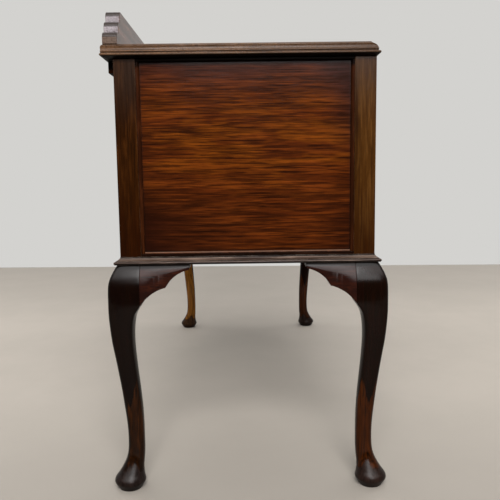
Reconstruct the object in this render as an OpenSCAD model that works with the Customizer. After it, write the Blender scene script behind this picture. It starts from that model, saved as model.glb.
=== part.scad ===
// Pedestal writing table on four cabriole legs, with five drawers and a low gallery.
// Millimetres. X runs along the length, the front faces -Y, and the floor is Z = 0.

/* [Overall] */
// Length of the carcase from end to end
carcase_l = 1178; // [1120:2:1300]
// Depth of the carcase from front to back
carcase_d = 437; // [420:1:500]
// Height of the writing surface above the floor
table_h = 770; // [750:1:800]
// Height of the legs, up to the underside of the carcase
leg_h = 404; // [390:1:420]

/* [Top] */
// Thickness of the top with its moulded edge
top_t = 22; // [20:0.5:26]
// Overhang of the top at each end
end_overhang = 12; // [10:0.5:20]
// Overhang of the top at the front
front_overhang = 5; // [3:0.5:12]
// Overhang of the top at the back
back_overhang = 20; // [17:0.5:30]
// Width of the moulded edge, from the nose to the flat
edge_w = 15.5; // [14:0.5:18]
// Width of the rounded edge at the back
back_edge_w = 5; // [4:0.5:8]
// Thickness of the leather skin
leather_t = 1.2; // [0.8:0.1:2]
// Bare wood round the leather at the ends and the front
leather_margin = 58; // [40:1:80]

/* [Gallery] */
// Height of the gallery above the top
gallery_h = 60; // [50:1:80]
// Thickness of the gallery
gallery_t = 24; // [18:0.5:26]
// Set-in of the gallery from the back edge of the top
gallery_back_in = 5; // [5:0.5:8]
// Set-in of the lowest lobe from the end of the top
gallery_end_in = 5; // [5:1:12]
// Step in from each lobe to the next
lobe_step = 16; // [13:1:20]
// Radius of each lobe's shoulder
lobe_r = 10; // [6:0.5:12]

/* [Carcase] */
// Side of the square corner posts
post_w = 36; // [34:1:40]
// Height of the rails under the top, at the front and the back
top_rail_h = 16; // [14:1:20]
// Height of the end rails under the top
end_top_rail_h = 5; // [4.5:0.5:9]
// Height of the end rails at the bottom
end_bottom_rail_h = 17.5; // [16:0.5:22]
// Height of the front and back rails at the bottom of each pedestal
bottom_rail_h = 23; // [20:1:28]
// Height of the rails between an upper and a lower drawer
divider_h = 18; // [16:1:22]
// Thickness of the end rails
end_rail_t = 20; // [18:0.5:24]
// Set-back of the panels behind the frame
panel_recess = 7; // [5:0.5:9]
// Thickness of the end and back panels
panel_t = 8; // [6:0.5:10]
// Depth of the panel grooves
groove_d = 5; // [4:0.5:7]
// Depth of the groove in an end rail under the top
top_groove_d = 3; // [2:0.5:3.5]
// Play of a panel in its groove, on each face
groove_play = 0.2; // [0.1:0.05:0.4]
// Glue line between pieces that are glued to each other
glue_line = 0.1; // [0.05:0.05:0.2]
// Width of the upright beads beside an end panel
bead_w = 6; // [4:0.5:8]
// Height of the bead along the bottom of an end panel
bead_h = 3; // [2:0.5:5]
// Thickness of the pedestal's bottom board
base_board_t = 8; // [6:0.5:10]
// Thickness of the partitions beside the kneehole
partition_t = 18; // [15:1:19]

/* [Drawers] */
// Width of the kneehole and of the middle drawer's opening
kneehole_w = 566; // [520:2:600]
// Width of the uprights beside the kneehole
stile_w = 26; // [24:1:32]
// Height of the upper row of drawer openings
upper_opening_h = 100; // [90:1:110]
// Thickness of the drawer fronts
front_t = 18; // [16:0.5:20]
// Gap round a drawer front
front_gap = 0.8; // [0.5:0.1:1.5]
// Set-back of a drawer front behind the posts
front_set = 1; // [0:0.5:2]
// Width of the cock bead round a drawer front
cock_w = 3; // [2:0.5:4]
// Height of the cock bead above the drawer front
cock_h = 2.5; // [1.5:0.5:3.5]
// Thickness of the drawer sides and back
side_t = 10; // [8:0.5:12]
// Thickness of the drawer bottoms
bottom_t = 5; // [4:0.5:6]
// Rise of the drawer bottom above the lower edge of the sides
bottom_rise = 6; // [5:0.5:9]
// Space behind a drawer box, in front of the back rails
box_back_gap = 12; // [8:1:40]
// Gap between the drawer sides and their guides
side_gap = 0.9; // [0.6:0.1:1.5]
// Gap under the drawer sides, above the runners
runner_gap = 0.3; // [0.2:0.1:0.5]
// Drop of the drawer sides below the top of the opening
side_drop = 6; // [4:1:12]
// Width of the drawer runners
runner_w = 30; // [24:1:40]

/* [Handles] */
// Distance between the posts of a handle
post_gap = 76; // [64:1:89]
// Reach of the bail's axis in front of the drawer front
bail_reach = 12.5; // [12:0.5:14]
// Radius of the bail's rod
rod_r = 2.2; // [1.8:0.1:2.6]
// Play of the rod in its post, on the radius
pivot_play = 0.05; // [0.03:0.01:0.1]
// Drop of the bail's grip below its axis
bail_drop = 27; // [24:1:32]
// Radius of the bail's grip at its middle
grip_r = 3.2; // [2.8:0.1:4]
// Thickness of the back plates
plate_t = 1.5; // [1:0.1:2]
// Radius of a handle post's round head
head_r = 6; // [5.5:0.1:6.5]
// Radius of the handle post's shank
shank_r = 2.4; // [2:0.1:3]
// Play of the shank in its holes, on the radius
shank_play = 0.1; // [0.05:0.05:0.3]
// Distance between the two handles of the middle drawer
handle_spread = 300; // [260:5:360]

/* [Legs] */
// Reach of the knee in front of the carcase
knee_out = 22.6; // [20:0.1:28]
// Reach of the leg's top in front of the carcase
leg_top_out = 6; // [4:0.5:9]
// Width of the ankle
ankle_w = 29.8; // [27:0.2:34]
// Radius of the pad foot
foot_r = 27.5; // [24:0.5:30]
// Height of the widest part of the foot
foot_h = 14; // [12:0.5:18]
// Radius of the disc under the foot
foot_disc_r = 19.3; // [17:0.1:21]
// Radius of the round tenon at the leg's top
tenon_r = 11; // [9:0.5:12]
// Length of the tenon
tenon_l = 32; // [24:1:40]
// Length of a knee bracket, along the carcase
ear_l = 85; // [76:1:100]
// Drop of a knee bracket at the leg
ear_drop = 69; // [62:1:76]
// Distance of a bracket's cusp from the leg
cusp_l = 43; // [38:1:50]
// Drop of a bracket's cusp
cusp_drop = 39.5; // [36:0.5:46]
// Height of a bracket's round tip
ear_nose = 10; // [8:0.5:14]

/* [Waist moulding] */
// Height of the waist moulding
waist_h = 13; // [11:0.5:15]
// Reach of the waist moulding
waist_out = 10.4; // [8:0.2:12]

/* [Back batten] */
// Height of the batten under the back overhang
batten_h = 19; // [16:1:30]
// Thickness of the batten
batten_t = 14.5; // [12:0.5:16.5]
// Set-in of the batten's ends from the carcase ends
batten_in = 30; // [20:1:80]

/* [Hidden] */
$fn = 48;

// The carcase's main planes
end_x = carcase_l / 2;
front_y = -carcase_d / 2;
back_y = carcase_d / 2;
under_top = table_h - top_t;
post_in_x = end_x - post_w;
post_in_y = back_y - post_w;
knee_x = kneehole_w / 2;
stile_x = knee_x + stile_w;

// Levels of the drawer openings
upper_z1 = under_top - top_rail_h;
upper_z0 = upper_z1 - upper_opening_h;
lower_z1 = upper_z0 - divider_h;
lower_z0 = leg_h + bottom_rail_h;
pedestal_mid = (stile_x + post_in_x) / 2;
pedestal_w = post_in_x - stile_x;

// The table top and what stands on it
top_x = end_x + end_overhang;
top_front = front_y - front_overhang;
top_back = back_y + back_overhang;
gallery_y1 = top_back - gallery_back_in;
gallery_y0 = gallery_y1 - gallery_t;
lobe_h = gallery_h / 3;
leather_gap_back = 22;

// The faces of the legs that the brackets meet
leg_face = 34;
ear_tip_out = 9;
ear_inner = 20;

// Screws that hold the top
screw_r = 2.1;
screw_play = 0.1;
screw_head_r = 4.4;
screw_head_h = 2.6;
screw_bite = 11;
screw_xs = [-500, -330, -130, 130, 330, 500];

// The drawers: middle of the opening in x, its width, its floor and its height
UPPER_LEFT = [-pedestal_mid, pedestal_w, upper_z0, upper_opening_h];
LOWER_LEFT = [-pedestal_mid, pedestal_w, lower_z0, lower_z1 - lower_z0];
CENTRE = [0, kneehole_w, upper_z0, upper_opening_h];
UPPER_RIGHT = [pedestal_mid, pedestal_w, upper_z0, upper_opening_h];
LOWER_RIGHT = [pedestal_mid, pedestal_w, lower_z0, lower_z1 - lower_z0];
face_y = front_y + front_set;
front_back_y = face_y + front_t;
box_l = post_in_y - box_back_gap - front_back_y;

// A box between its lowest and highest corners
module slab(low, high) {
    translate(low) cube(high - low);
}

// The part drawn once and once more mirrored end for end
module both_ends() {
    children();
    mirror([1, 0, 0]) children();
}

// Points on an arc about a centre
function arc(centre, r, from, to, steps = 8) =
    [for (i = [0:steps]) let (a = from + (to - from) * i / steps) centre + r * [cos(a), sin(a)]];

// Points on a shallow bow between two points, its middle moved to the left of the way by rise
function bow(a, b, rise, steps = 8) =
    [for (i = [0:steps]) let (t = i / steps, d = b - a)
        a + d * t + 4 * t * (1 - t) * rise * [-d.y, d.x] / norm(d)];

// Moulded edge of the top, as distance out from the nose line and height above the underside
function moulded_edge() = concat(
    [[-7.5, 0]],
    arc([-2.6, 6.4], 2.6, -60, 60, 6),
    [[-4.4, 9.8]],
    arc([-10.4, 12.4], 6.4, 0, 78, 8),
    [[1 - edge_w, top_t - 1.8], [-edge_w, top_t - 1.2], [-edge_w, top_t]]
);

// Narrower edge of the top at the back, where the gallery stands close to it
function back_edge() = concat(
    [[-7.5, 0]],
    arc([-2.6, 6.4], 2.6, -60, 60, 6),
    [[-1.9, 9.8]],
    arc([-back_edge_w - 3.2, top_t - 7.8], 7.4, -25, 62, 8),
    [[-back_edge_w, top_t]]
);

// An edge outline carried to a given distance, on the positive or the negative side
function placed(edge, at, side) = [for (p = edge) [side * (at + p.x), p.y + under_top]];
function flipped(points) = [for (i = [len(points) - 1:-1:0]) points[i]];

module top_blank() {
    intersection() {
        translate([-top_x - 1, 0, 0])
            rotate([90, 0, 90])
                linear_extrude(2 * top_x + 2)
                    polygon(concat(
                        placed(back_edge(), top_back, 1),
                        flipped(placed(moulded_edge(), -top_front, -1))
                    ));
        translate([0, top_back + 1, 0])
            rotate([90, 0, 0])
                linear_extrude(top_back - top_front + 2)
                    polygon(concat(
                        placed(moulded_edge(), top_x, 1),
                        flipped(placed(moulded_edge(), top_x, -1))
                    ));
    }
}

leather_x = top_x - leather_margin;
leather_y0 = top_front + leather_margin;
leather_y1 = gallery_y0 - leather_gap_back;

module table_top() {
    color([0.30, 0.15, 0.09])
        difference() {
            top_blank();
            slab([-leather_x, leather_y0, table_h - leather_t], [leather_x, leather_y1, table_h + 1]);
            top_screw_holes();
        }
}

module leather_inset() {
    color([0.16, 0.22, 0.14])
        slab([-leather_x, leather_y0, table_h - leather_t], [leather_x, leather_y1, table_h]);
}

// One step of the gallery, seen from the front, with a round shoulder at each end
module lobe(step) {
    at = top_x - gallery_end_in - step * lobe_step;
    high = (step + 1) * lobe_h;
    polygon(concat(
        [[-at, 0], [at, 0]],
        arc([at - lobe_r, high - lobe_r], lobe_r, 0, 90, 8),
        arc([lobe_r - at, high - lobe_r], lobe_r, 90, 180, 8)
    ));
}

module gallery() {
    color([0.30, 0.17, 0.12])
        translate([0, gallery_y1, table_h])
            rotate([90, 0, 0])
                linear_extrude(gallery_t)
                    for (step = [0:2]) lobe(step);
}

screw_ys = [front_y + post_w / 2, (post_in_y + back_y - panel_recess - panel_t) / 2];
module at_top_screws() {
    for (x = screw_xs, y = screw_ys)
        translate([x, y, under_top - top_rail_h]) children();
}

module top_screw_holes() {
    at_top_screws() {
        cylinder(r = screw_r + screw_play, h = top_rail_h + screw_bite + screw_play);
        translate([0, 0, -1]) cylinder(r = screw_head_r + screw_play, h = screw_head_h + 1);
    }
}

module top_screws() {
    color([0.45, 0.42, 0.38])
        at_top_screws() {
            cylinder(r = screw_r, h = top_rail_h + screw_bite);
            difference() {
                cylinder(r = screw_head_r, h = screw_head_h);
                translate([-screw_head_r - 1, -0.5, -1]) cube([2 * screw_head_r + 2, 1, 2]);
            }
        }
}

module back_batten() {
    color([0.14, 0.09, 0.07])
        slab([-end_x + batten_in, back_y, under_top - batten_h],
             [end_x - batten_in, back_y + batten_t, under_top]);
}

// Stations of a leg: height, reach out past the carcase corner, reach in, and how round
// the outer corner and the other corners are, from 0 for square to 1 for round
ankle_in = ankle_w - 0.9;
foot_in = 2.8;
leg_stations = [
    [0, foot_disc_r - foot_in, foot_disc_r + foot_in, 1, 1],
    [foot_h * 0.36, foot_disc_r + 3.3 - foot_in, foot_disc_r + 3.3 + foot_in, 1, 1],
    [foot_h, foot_r - foot_in, foot_r + foot_in, 1, 1],
    [foot_h + 7, foot_r - 4.6, foot_r + 1.2, 1, 1],
    [foot_h + 14, foot_r - 10.3, foot_r, 1, 1],
    [foot_h + 23, 11.5, ankle_in - 2.2, 0.95, 1],
    [foot_h + 36, 4.6, ankle_in - 1.2, 0.88, 1],
    [foot_h + 50, 1.1, ankle_in - 0.3, 0.82, 0.95],
    [leg_h * 0.22, -0.1, ankle_in - 0.2, 0.78, 0.9],
    [leg_h * 0.29, 0.9, ankle_in - 0.3, 0.74, 0.85],
    [leg_h * 0.36, 3.4, ankle_in - 1.1, 0.7, 0.8],
    [leg_h * 0.45, 7, ankle_in - 3.6, 0.66, 0.75],
    [leg_h * 0.56, 12.4, ankle_in - 7.2, 0.62, 0.7],
    [leg_h - 134, knee_out - 4.2, 19.4, 0.58, 0.62],
    [leg_h - 104, knee_out - 1.6, 20.5, 0.52, 0.5],
    [leg_h - 84, knee_out - 0.4, 24.4, 0.48, 0.3],
    [leg_h - ear_drop, knee_out, leg_face, 0.45, 0.06],
    [leg_h - 54, knee_out - 0.1, leg_face, 0.44, 0.06],
    [leg_h - 39, knee_out - 0.7, leg_face, 0.44, 0.06],
    [leg_h - 30, knee_out - 1.9, leg_face, 0.43, 0.06],
    [leg_h - 20, knee_out - 5.3, leg_face, 0.42, 0.06],
    [leg_h - 10, leg_top_out + 6.3, leg_face, 0.41, 0.06],
    [leg_h - 4, leg_top_out + 3, leg_face, 0.4, 0.06],
    [leg_h, leg_top_out, leg_face, 0.4, 0.06]
];

// A column of the stations, carried smoothly from one station to the next
function slope(col, i) =
    let (a = max(i - 1, 0), b = min(i + 1, len(leg_stations) - 1))
        (leg_stations[b][col] - leg_stations[a][col]) / (leg_stations[b][0] - leg_stations[a][0]);
function station_below(z) =
    max([for (i = [0:len(leg_stations) - 2]) if (leg_stations[i][0] <= z) i]);
function along(col, z) =
    let (i = station_below(z), z0 = leg_stations[i][0],
         step = leg_stations[i + 1][0] - z0, t = (z - z0) / step)
        leg_stations[i][col] * (1 + 2 * t) * pow(1 - t, 2) + slope(col, i) * step * t * pow(1 - t, 2)
        + leg_stations[i + 1][col] * t * t * (3 - 2 * t) - slope(col, i + 1) * step * t * t * (1 - t);
function reach_out(z) = along(1, z);
function reach_in(z) = z >= leg_h - ear_drop ? leg_face : min(along(2, z), leg_face);
function roundness(col, z) = min(max(along(col, z), 0.06), 1);

// One ring of a leg: a square with its corner on the diagonal, each corner rounded
corner_steps = 5;
function leg_ring(z) =
    let (half = (reach_in(z) + reach_out(z)) / 2, mid = (reach_in(z) - reach_out(z)) / 2,
         outer = half * roundness(3, z), other = half * roundness(4, z))
        [for (corner = [[45, other], [135, other], [225, outer], [315, other]], i = [0:corner_steps])
            let (r = corner[1], a = corner[0],
                 turn = a - 45 + 90 * i / corner_steps, c = (half - r) * sqrt(2))
                [mid + c * cos(a) + r * cos(turn), mid + c * sin(a) + r * sin(turn), z]];

foot_rings = 9;
shank_rings = 24;
knee_rings = 6;
ring_heights = concat(
    [for (i = [0:foot_rings - 1]) (foot_h + 14) * i / foot_rings],
    [for (i = [0:shank_rings - 1]) foot_h + 14 + (leg_h - ear_drop - foot_h - 14) * i / shank_rings],
    [for (i = [0:knee_rings]) leg_h - ear_drop + ear_drop * i / knee_rings]
);

module leg_shaft() {
    rings = [for (z = ring_heights) leg_ring(z)];
    around = len(rings[0]);
    last = len(rings) - 1;
    points = [for (ring = rings) each ring];
    walls = [for (k = [0:last - 1], i = [0:around - 1]) let (j = (i + 1) % around)
        each [[k * around + i, (k + 1) * around + i, (k + 1) * around + j],
              [k * around + i, (k + 1) * around + j, k * around + j]]];
    polyhedron(points, concat(
        [[for (i = [0:around - 1]) i]],
        [[for (i = [around - 1:-1:0]) last * around + i]],
        walls
    ));
}

// A leg with its tenon, its carcase corner at the origin and the table towards +X and +Y
tenon_at = post_w / 2;
module corner_leg() {
    color([0.16, 0.07, 0.05]) {
        leg_shaft();
        translate([tenon_at, tenon_at, leg_h]) cylinder(r = tenon_r, h = tenon_l);
    }
}

// Outline of a knee bracket: distance from the carcase corner and height
ear_nose_r = 5;
ear_nose_at = [leg_face + ear_l - ear_nose_r, leg_h - ear_nose + ear_nose_r];
ear_nose_end = ear_nose_at + ear_nose_r * [cos(-75), sin(-75)];
function ear_outline() = concat(
    [[leg_face, leg_h], [leg_face + ear_l, leg_h]],
    arc(ear_nose_at, ear_nose_r, 0, -75, 5),
    bow(ear_nose_end, [leg_face + cusp_l, leg_h - cusp_drop], -5.5, 10),
    bow([leg_face + cusp_l - 2, leg_h - cusp_drop], [leg_face, leg_h - ear_drop], -4.6, 8)
);

// Curved face of a bracket, which carries on the knee's own curve
ear_face_steps = 8;
function ear_face() = concat(
    [[ear_inner, leg_h - ear_drop - 1], [ear_inner, leg_h]],
    [for (i = [0:ear_face_steps]) let (z = leg_h - ear_drop * i / ear_face_steps) [-reach_out(z), z]],
    [[-knee_out, leg_h - ear_drop - 1]]
);

// Plan of a bracket, which thins towards its tip
function ear_plan() = [
    [leg_face, ear_inner], [leg_face, -knee_out - 1], [leg_face + 12, -knee_out + 1.5],
    [leg_face + cusp_l, -ear_tip_out - 6], [leg_face + ear_l, -ear_tip_out], [leg_face + ear_l, ear_inner]
];

// A bracket along +X, its carcase corner at the origin
module knee_bracket() {
    intersection() {
        translate([0, ear_inner, 0])
            rotate([90, 0, 0])
                linear_extrude(ear_inner + knee_out + 2) polygon(ear_outline());
        rotate([90, 0, 90])
            linear_extrude(leg_face + ear_l) polygon(ear_face());
        translate([0, 0, leg_h - ear_drop - 1])
            linear_extrude(ear_drop + 1) polygon(ear_plan());
    }
}

module corner_brackets() {
    color([0.25, 0.10, 0.07]) {
        knee_bracket();
        mirror([1, -1, 0]) knee_bracket();
    }
}

// Something built at the carcase corner, carried to one of the four corners
module to_corner(x_side, y_side) {
    translate([x_side * end_x, y_side * back_y, 0])
        mirror([x_side > 0 ? 1 : 0, 0, 0])
            mirror([0, y_side > 0 ? 1 : 0, 0])
                children();
}

module end_brackets(x_side) {
    to_corner(x_side, -1) corner_brackets();
    to_corner(x_side, 1) corner_brackets();
}

// A corner post, its outer corner at the origin, grooved for the end panel along +Y
// and, at the back, for the back panel along +X
module corner_post(with_back_groove) {
    color([0.27, 0.18, 0.11])
        difference() {
            slab([0, 0, leg_h], [post_w, post_w, under_top]);
            panel_groove();
            if (with_back_groove) mirror([1, -1, 0]) panel_groove();
            translate([tenon_at, tenon_at, leg_h - 1])
                cylinder(r = tenon_r + groove_play / 2, h = tenon_l + 1 + groove_play);
        }
}

// The groove for a panel in the face at post_w
module panel_groove() {
    slab([panel_recess - groove_play, post_w - groove_d, leg_h + 12],
         [panel_recess + panel_t + groove_play, post_w + 1, end_panel_z1 + top_groove_d]);
}

// End panel, rails and beads, built at the left end
end_panel_z0 = leg_h + end_bottom_rail_h;
end_panel_z1 = under_top - end_top_rail_h;
tongue = groove_d - groove_play;
top_tongue = top_groove_d - groove_play;

module end_panel() {
    color([0.42, 0.18, 0.08])
        slab([-end_x + panel_recess, -post_in_y - tongue, end_panel_z0 - tongue],
             [-end_x + panel_recess + panel_t, post_in_y + tongue, end_panel_z1 + top_tongue]);
}

module end_rails() {
    color([0.20, 0.10, 0.07])
        difference() {
            union() {
                slab([-end_x, -post_in_y, leg_h], [-end_x + end_rail_t, post_in_y, end_panel_z0]);
                slab([-end_x, -post_in_y, end_panel_z1], [-end_x + end_rail_t, post_in_y, under_top]);
            }
            slab([-end_x + panel_recess - groove_play, -post_in_y - 1, end_panel_z0 - groove_d],
                 [-end_x + panel_recess + panel_t + groove_play, post_in_y + 1, end_panel_z1 + top_groove_d]);
        }
}

// Cross-section of a bead: a square with its outer corner rounded
module bead_section(wide, deep) {
    r = min(wide, deep) * 0.8;
    polygon(concat([[0, 0], [wide, 0]], arc([wide - r, deep - r], r, 0, 90, 6), [[0, deep]]));
}

bead_stand = panel_recess - 1.5;
module panel_beads() {
    color([0.13, 0.07, 0.05])
        for (side = [-1, 1])
            mirror([0, side > 0 ? 1 : 0, 0])
                translate([-end_x + panel_recess, -post_in_y, end_panel_z0])
                    rotate([0, 0, 90])
                        linear_extrude(end_panel_z1 - end_panel_z0) bead_section(bead_w, bead_stand);
    color([0.13, 0.07, 0.05])
        translate([-end_x + panel_recess, bead_w + glue_line - post_in_y, end_panel_z0])
            rotate([90, 0, 180])
                linear_extrude(2 * (post_in_y - bead_w - glue_line)) bead_section(bead_stand, bead_h);
}

module front_top_rail() {
    color([0.26, 0.13, 0.08])
        difference() {
            slab([-post_in_x, front_y, upper_z1], [post_in_x, front_y + post_w, under_top]);
            top_screw_holes();
        }
}

// The back frame: a long top rail, a rail under the middle panel and a rail under each pedestal
module back_rails() {
    color([0.20, 0.11, 0.07])
        difference() {
            union() {
                slab([-post_in_x, post_in_y, upper_z1], [post_in_x, back_y, under_top]);
                slab([-knee_x, post_in_y, upper_z0 - divider_h], [knee_x, back_y, upper_z0]);
                both_ends()
                    slab([stile_x, post_in_y, leg_h], [post_in_x, back_y, lower_z0]);
            }
            back_groove();
            top_screw_holes();
        }
}

module back_groove() {
    y0 = back_y - panel_recess - panel_t - groove_play;
    y1 = back_y - panel_recess + groove_play;
    slab([-knee_x - groove_d, y0, upper_z0 - groove_d], [knee_x + groove_d, y1, upper_z1 + groove_d]);
    both_ends()
        slab([stile_x - groove_d, y0, lower_z0 - groove_d], [post_in_x + groove_d, y1, upper_z1 + groove_d]);
}

module back_panels() {
    y0 = back_y - panel_recess - panel_t;
    y1 = back_y - panel_recess;
    color([0.30, 0.15, 0.08]) {
        slab([-knee_x - tongue, y0, upper_z0 - tongue], [knee_x + tongue, y1, upper_z1 + tongue]);
        both_ends()
            slab([stile_x - tongue, y0, lower_z0 - tongue], [post_in_x + tongue, y1, upper_z1 + tongue]);
    }
}

module inner_stiles() {
    color([0.26, 0.15, 0.09]) {
        both_ends()
            slab([knee_x, front_y, leg_h], [stile_x, front_y + post_w, upper_z1]);
        difference() {
            both_ends()
                slab([knee_x, post_in_y, leg_h], [stile_x, back_y, upper_z1]);
            back_groove();
        }
    }
}

module partition() {
    color([0.24, 0.11, 0.07])
        slab([knee_x, front_y + post_w, leg_h], [knee_x + partition_t, post_in_y, under_top]);
}

module divider_rails() {
    color([0.26, 0.13, 0.08])
        both_ends()
            slab([stile_x, front_y, lower_z1], [post_in_x, front_y + post_w, upper_z0]);
}

module kneehole_rail() {
    color([0.26, 0.13, 0.08])
        slab([-knee_x, front_y, lower_z1], [knee_x, front_y + post_w, upper_z0]);
}

// Shaped brackets in the upper corners of the kneehole, with the outline of the knee brackets
kneehole_bracket_t = 20;
module kneehole_brackets() {
    color([0.25, 0.10, 0.07])
        both_ends()
            translate([-knee_x, front_y + kneehole_bracket_t + 2, lower_z1 - leg_h])
                rotate([90, 0, 0])
                    linear_extrude(kneehole_bracket_t)
                        translate([-leg_face, 0]) polygon(ear_outline());
}

module bottom_front_rails() {
    color([0.24, 0.12, 0.08])
        both_ends()
            slab([stile_x, front_y, leg_h], [post_in_x, front_y + post_w, lower_z0]);
}

runner_rise = 11;
base_board_z = lower_z0 - runner_rise - base_board_t;
module pedestal_bottoms() {
    color([0.36, 0.22, 0.13])
        both_ends()
            slab([knee_x + partition_t, -post_in_y, base_board_z],
                 [post_in_x, post_in_y, base_board_z + base_board_t]);
}

// Runners under the sides of every drawer, level with the rails
module drawer_runners() {
    outer_x = end_x - end_rail_t;
    inner_x = knee_x + partition_t;
    color([0.45, 0.31, 0.19])
        both_ends() {
            for (levels = [[lower_z0 - runner_rise, lower_z0], [lower_z1, upper_z0]]) {
                slab([outer_x - runner_w, -post_in_y, levels[0]], [outer_x, post_in_y, levels[1]]);
                slab([inner_x, -post_in_y, levels[0]], [inner_x + runner_w, post_in_y, levels[1]]);
            }
            slab([knee_x - runner_w / 2, -post_in_y, lower_z1], [knee_x, post_in_y, upper_z0]);
        }
}

// Guides that keep each pedestal drawer straight
guide_h = 12;
panel_back_x = end_x - panel_recess - panel_t;
module drawer_guides() {
    color([0.45, 0.31, 0.19])
        both_ends()
            for (level = [lower_z0, upper_z0]) {
                slab([post_in_x, -post_in_y, level], [panel_back_x, post_in_y, level + guide_h]);
                slab([knee_x + partition_t, -post_in_y, level], [stile_x, post_in_y, level + guide_h]);
            }
}

// Cross-section of the waist moulding: reach and height above the leg
module waist_section() {
    bead = 2.3;
    polygon(concat(
        [[0, 0], [waist_out - bead, 0]],
        arc([waist_out - bead, bead], bead, -90, 90, 8),
        [[waist_out - bead - 0.6, 2 * bead]],
        bow([waist_out - bead - 0.6, 2 * bead + 0.4], [2.2, waist_h - 2], 0.9, 6),
        [[2.2, waist_h], [0, waist_h]]
    ));
}

// A run of waist moulding along +X that faces -Y, its ends cut to 45 degrees where asked
module waist_run(run_l, mitre_start, mitre_end) {
    trim = glue_line / 2;
    start = mitre_start ? waist_out : 0;
    end = mitre_end ? waist_out : 0;
    intersection() {
        translate([-waist_out, 0, leg_h])
            rotate([90, 0, 90])
                mirror([1, 0, 0])
                    linear_extrude(run_l + 2 * waist_out) waist_section();
        translate([0, 0, leg_h - 1])
            linear_extrude(waist_h + 2)
                polygon([
                    [trim, 0], [run_l - trim, 0],
                    [run_l + end - trim, -waist_out], [trim - start, -waist_out]
                ]);
    }
}

module end_moulding() {
    color([0.33, 0.20, 0.14])
        translate([-end_x, back_y, 0]) rotate([0, 0, -90]) waist_run(carcase_d, true, true);
}

pedestal_l = end_x - knee_x;
module pedestal_moulding() {
    color([0.33, 0.20, 0.14]) {
        translate([-end_x, front_y, 0]) waist_run(pedestal_l, true, true);
        translate([-knee_x, front_y, 0]) rotate([0, 0, 90]) waist_run(carcase_d, true, true);
        translate([-knee_x, back_y, 0]) rotate([0, 0, 180]) waist_run(pedestal_l, true, true);
    }
}

// Small blocks glued behind the rails, under the top
block_l = 40;
block_w = 14;
block_spacing = 145;
module glue_blocks() {
    color([0.50, 0.36, 0.22])
        for (x = block_spacing * [-1.5, -0.5, 0.5, 1.5])
            slab([x - block_l / 2, front_y + post_w, under_top - block_w],
                 [x + block_l / 2, front_y + post_w + block_w, under_top]);
}

// A drawer front with its cock bead, drilled for the handles
module drawer_front(opening, handle_xs) {
    low = [opening[0] - opening[1] / 2 + front_gap, face_y, opening[2] + front_gap];
    high = [opening[0] + opening[1] / 2 - front_gap, face_y + front_t, opening[2] + opening[3] - front_gap];
    color([0.38, 0.17, 0.09])
        difference() {
            slab([low.x, face_y - cock_h, low.z], high);
            slab([low.x + cock_w, face_y - cock_h - 1, low.z + cock_w],
                 [high.x - cock_w, face_y, high.z - cock_w]);
            at_handles(opening, handle_xs)
                for (side = [-1, 1])
                    translate([side * post_gap / 2, -1, 0])
                        rotate([-90, 0, 0]) cylinder(r = shank_r + shank_play, h = front_t + 2);
        }
}

// Middle height of a drawer's handles
handle_lift = 7;
module at_handles(opening, handle_xs) {
    for (x = handle_xs)
        translate([opening[0] + x, face_y, opening[2] + opening[3] / 2 + handle_lift]) children();
}

module drawer_box(opening) {
    x0 = opening[0] - opening[1] / 2 + side_gap;
    x1 = opening[0] + opening[1] / 2 - side_gap;
    z0 = opening[2] + runner_gap;
    z1 = opening[2] + opening[3] - side_drop;
    y0 = front_back_y;
    y1 = front_back_y + box_l;
    floor_z = z0 + bottom_rise;
    color([0.55, 0.40, 0.25]) {
        difference() {
            union() {
                slab([x0, y0, z0], [x0 + side_t, y1, z1]);
                slab([x1 - side_t, y0, z0], [x1, y1, z1]);
            }
            slab([x0 + side_t - groove_d, y0 - 1, floor_z - groove_play],
                 [x1 - side_t + groove_d, y1 + 1, floor_z + bottom_t + groove_play]);
        }
        slab([x0 + side_t + glue_line, y1 - side_t, floor_z + bottom_t + glue_line],
             [x1 - side_t - glue_line, y1, z1 - side_drop]);
    }
    color([0.60, 0.46, 0.30])
        slab([x0 + side_t - tongue, y0, floor_z], [x1 - side_t + tongue, y1, floor_z + bottom_t]);
}

// Outline of a back plate, made of overlapping rounds
plate_end_r = 12;
plate_mid_r = 17;
module plate_outline() {
    half = post_gap / 2;
    circle(plate_mid_r);
    for (side = [-1, 1]) {
        translate([side * half, 1]) circle(plate_end_r);
        translate([side * half * 0.52, -5]) circle(plate_end_r * 0.85);
        translate([side * half * 0.55, 6]) circle(plate_end_r * 0.8);
    }
}

module back_plate() {
    rotate([90, 0, 0])
        linear_extrude(plate_t)
            difference() {
                plate_outline();
                for (side = [-1, 1])
                    translate([side * post_gap / 2, 0]) circle(shank_r + shank_play);
            }
}

// A handle post: shank through the front, flange by the plate, and a round head for the bail
flange_r = 6.5;
flange_t = 1.6;
neck_r = 3.6;
nut_r = 6;
nut_t = 4;
module handle_post() {
    seat = plate_t + glue_line;
    centre = bail_reach - seat;
    shank_end = -front_t - seat - nut_t - 2;
    difference() {
        translate([0, -seat, 0])
            rotate([90, 0, 0])
                rotate_extrude()
                    polygon(concat(
                        [[0, shank_end], [shank_r, shank_end], [shank_r, 0]],
                        [[flange_r, 0], [flange_r, flange_t]],
                        [[neck_r, flange_t + 1.4]],
                        arc([0, centre], head_r, -53.13, 90, 12)
                    ));
        translate([-head_r - 1, -bail_reach, 0])
            rotate([0, 90, 0]) cylinder(r = rod_r + pivot_play, h = 2 * head_r + 2);
    }
}

module shank_nut() {
    translate([0, front_t, 0])
        rotate([-90, 0, 0])
            difference() {
                cylinder(r = nut_r, h = nut_t, $fn = 6);
                translate([0, 0, -1]) cylinder(r = shank_r + shank_play, h = nut_t + 2);
            }
}

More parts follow.
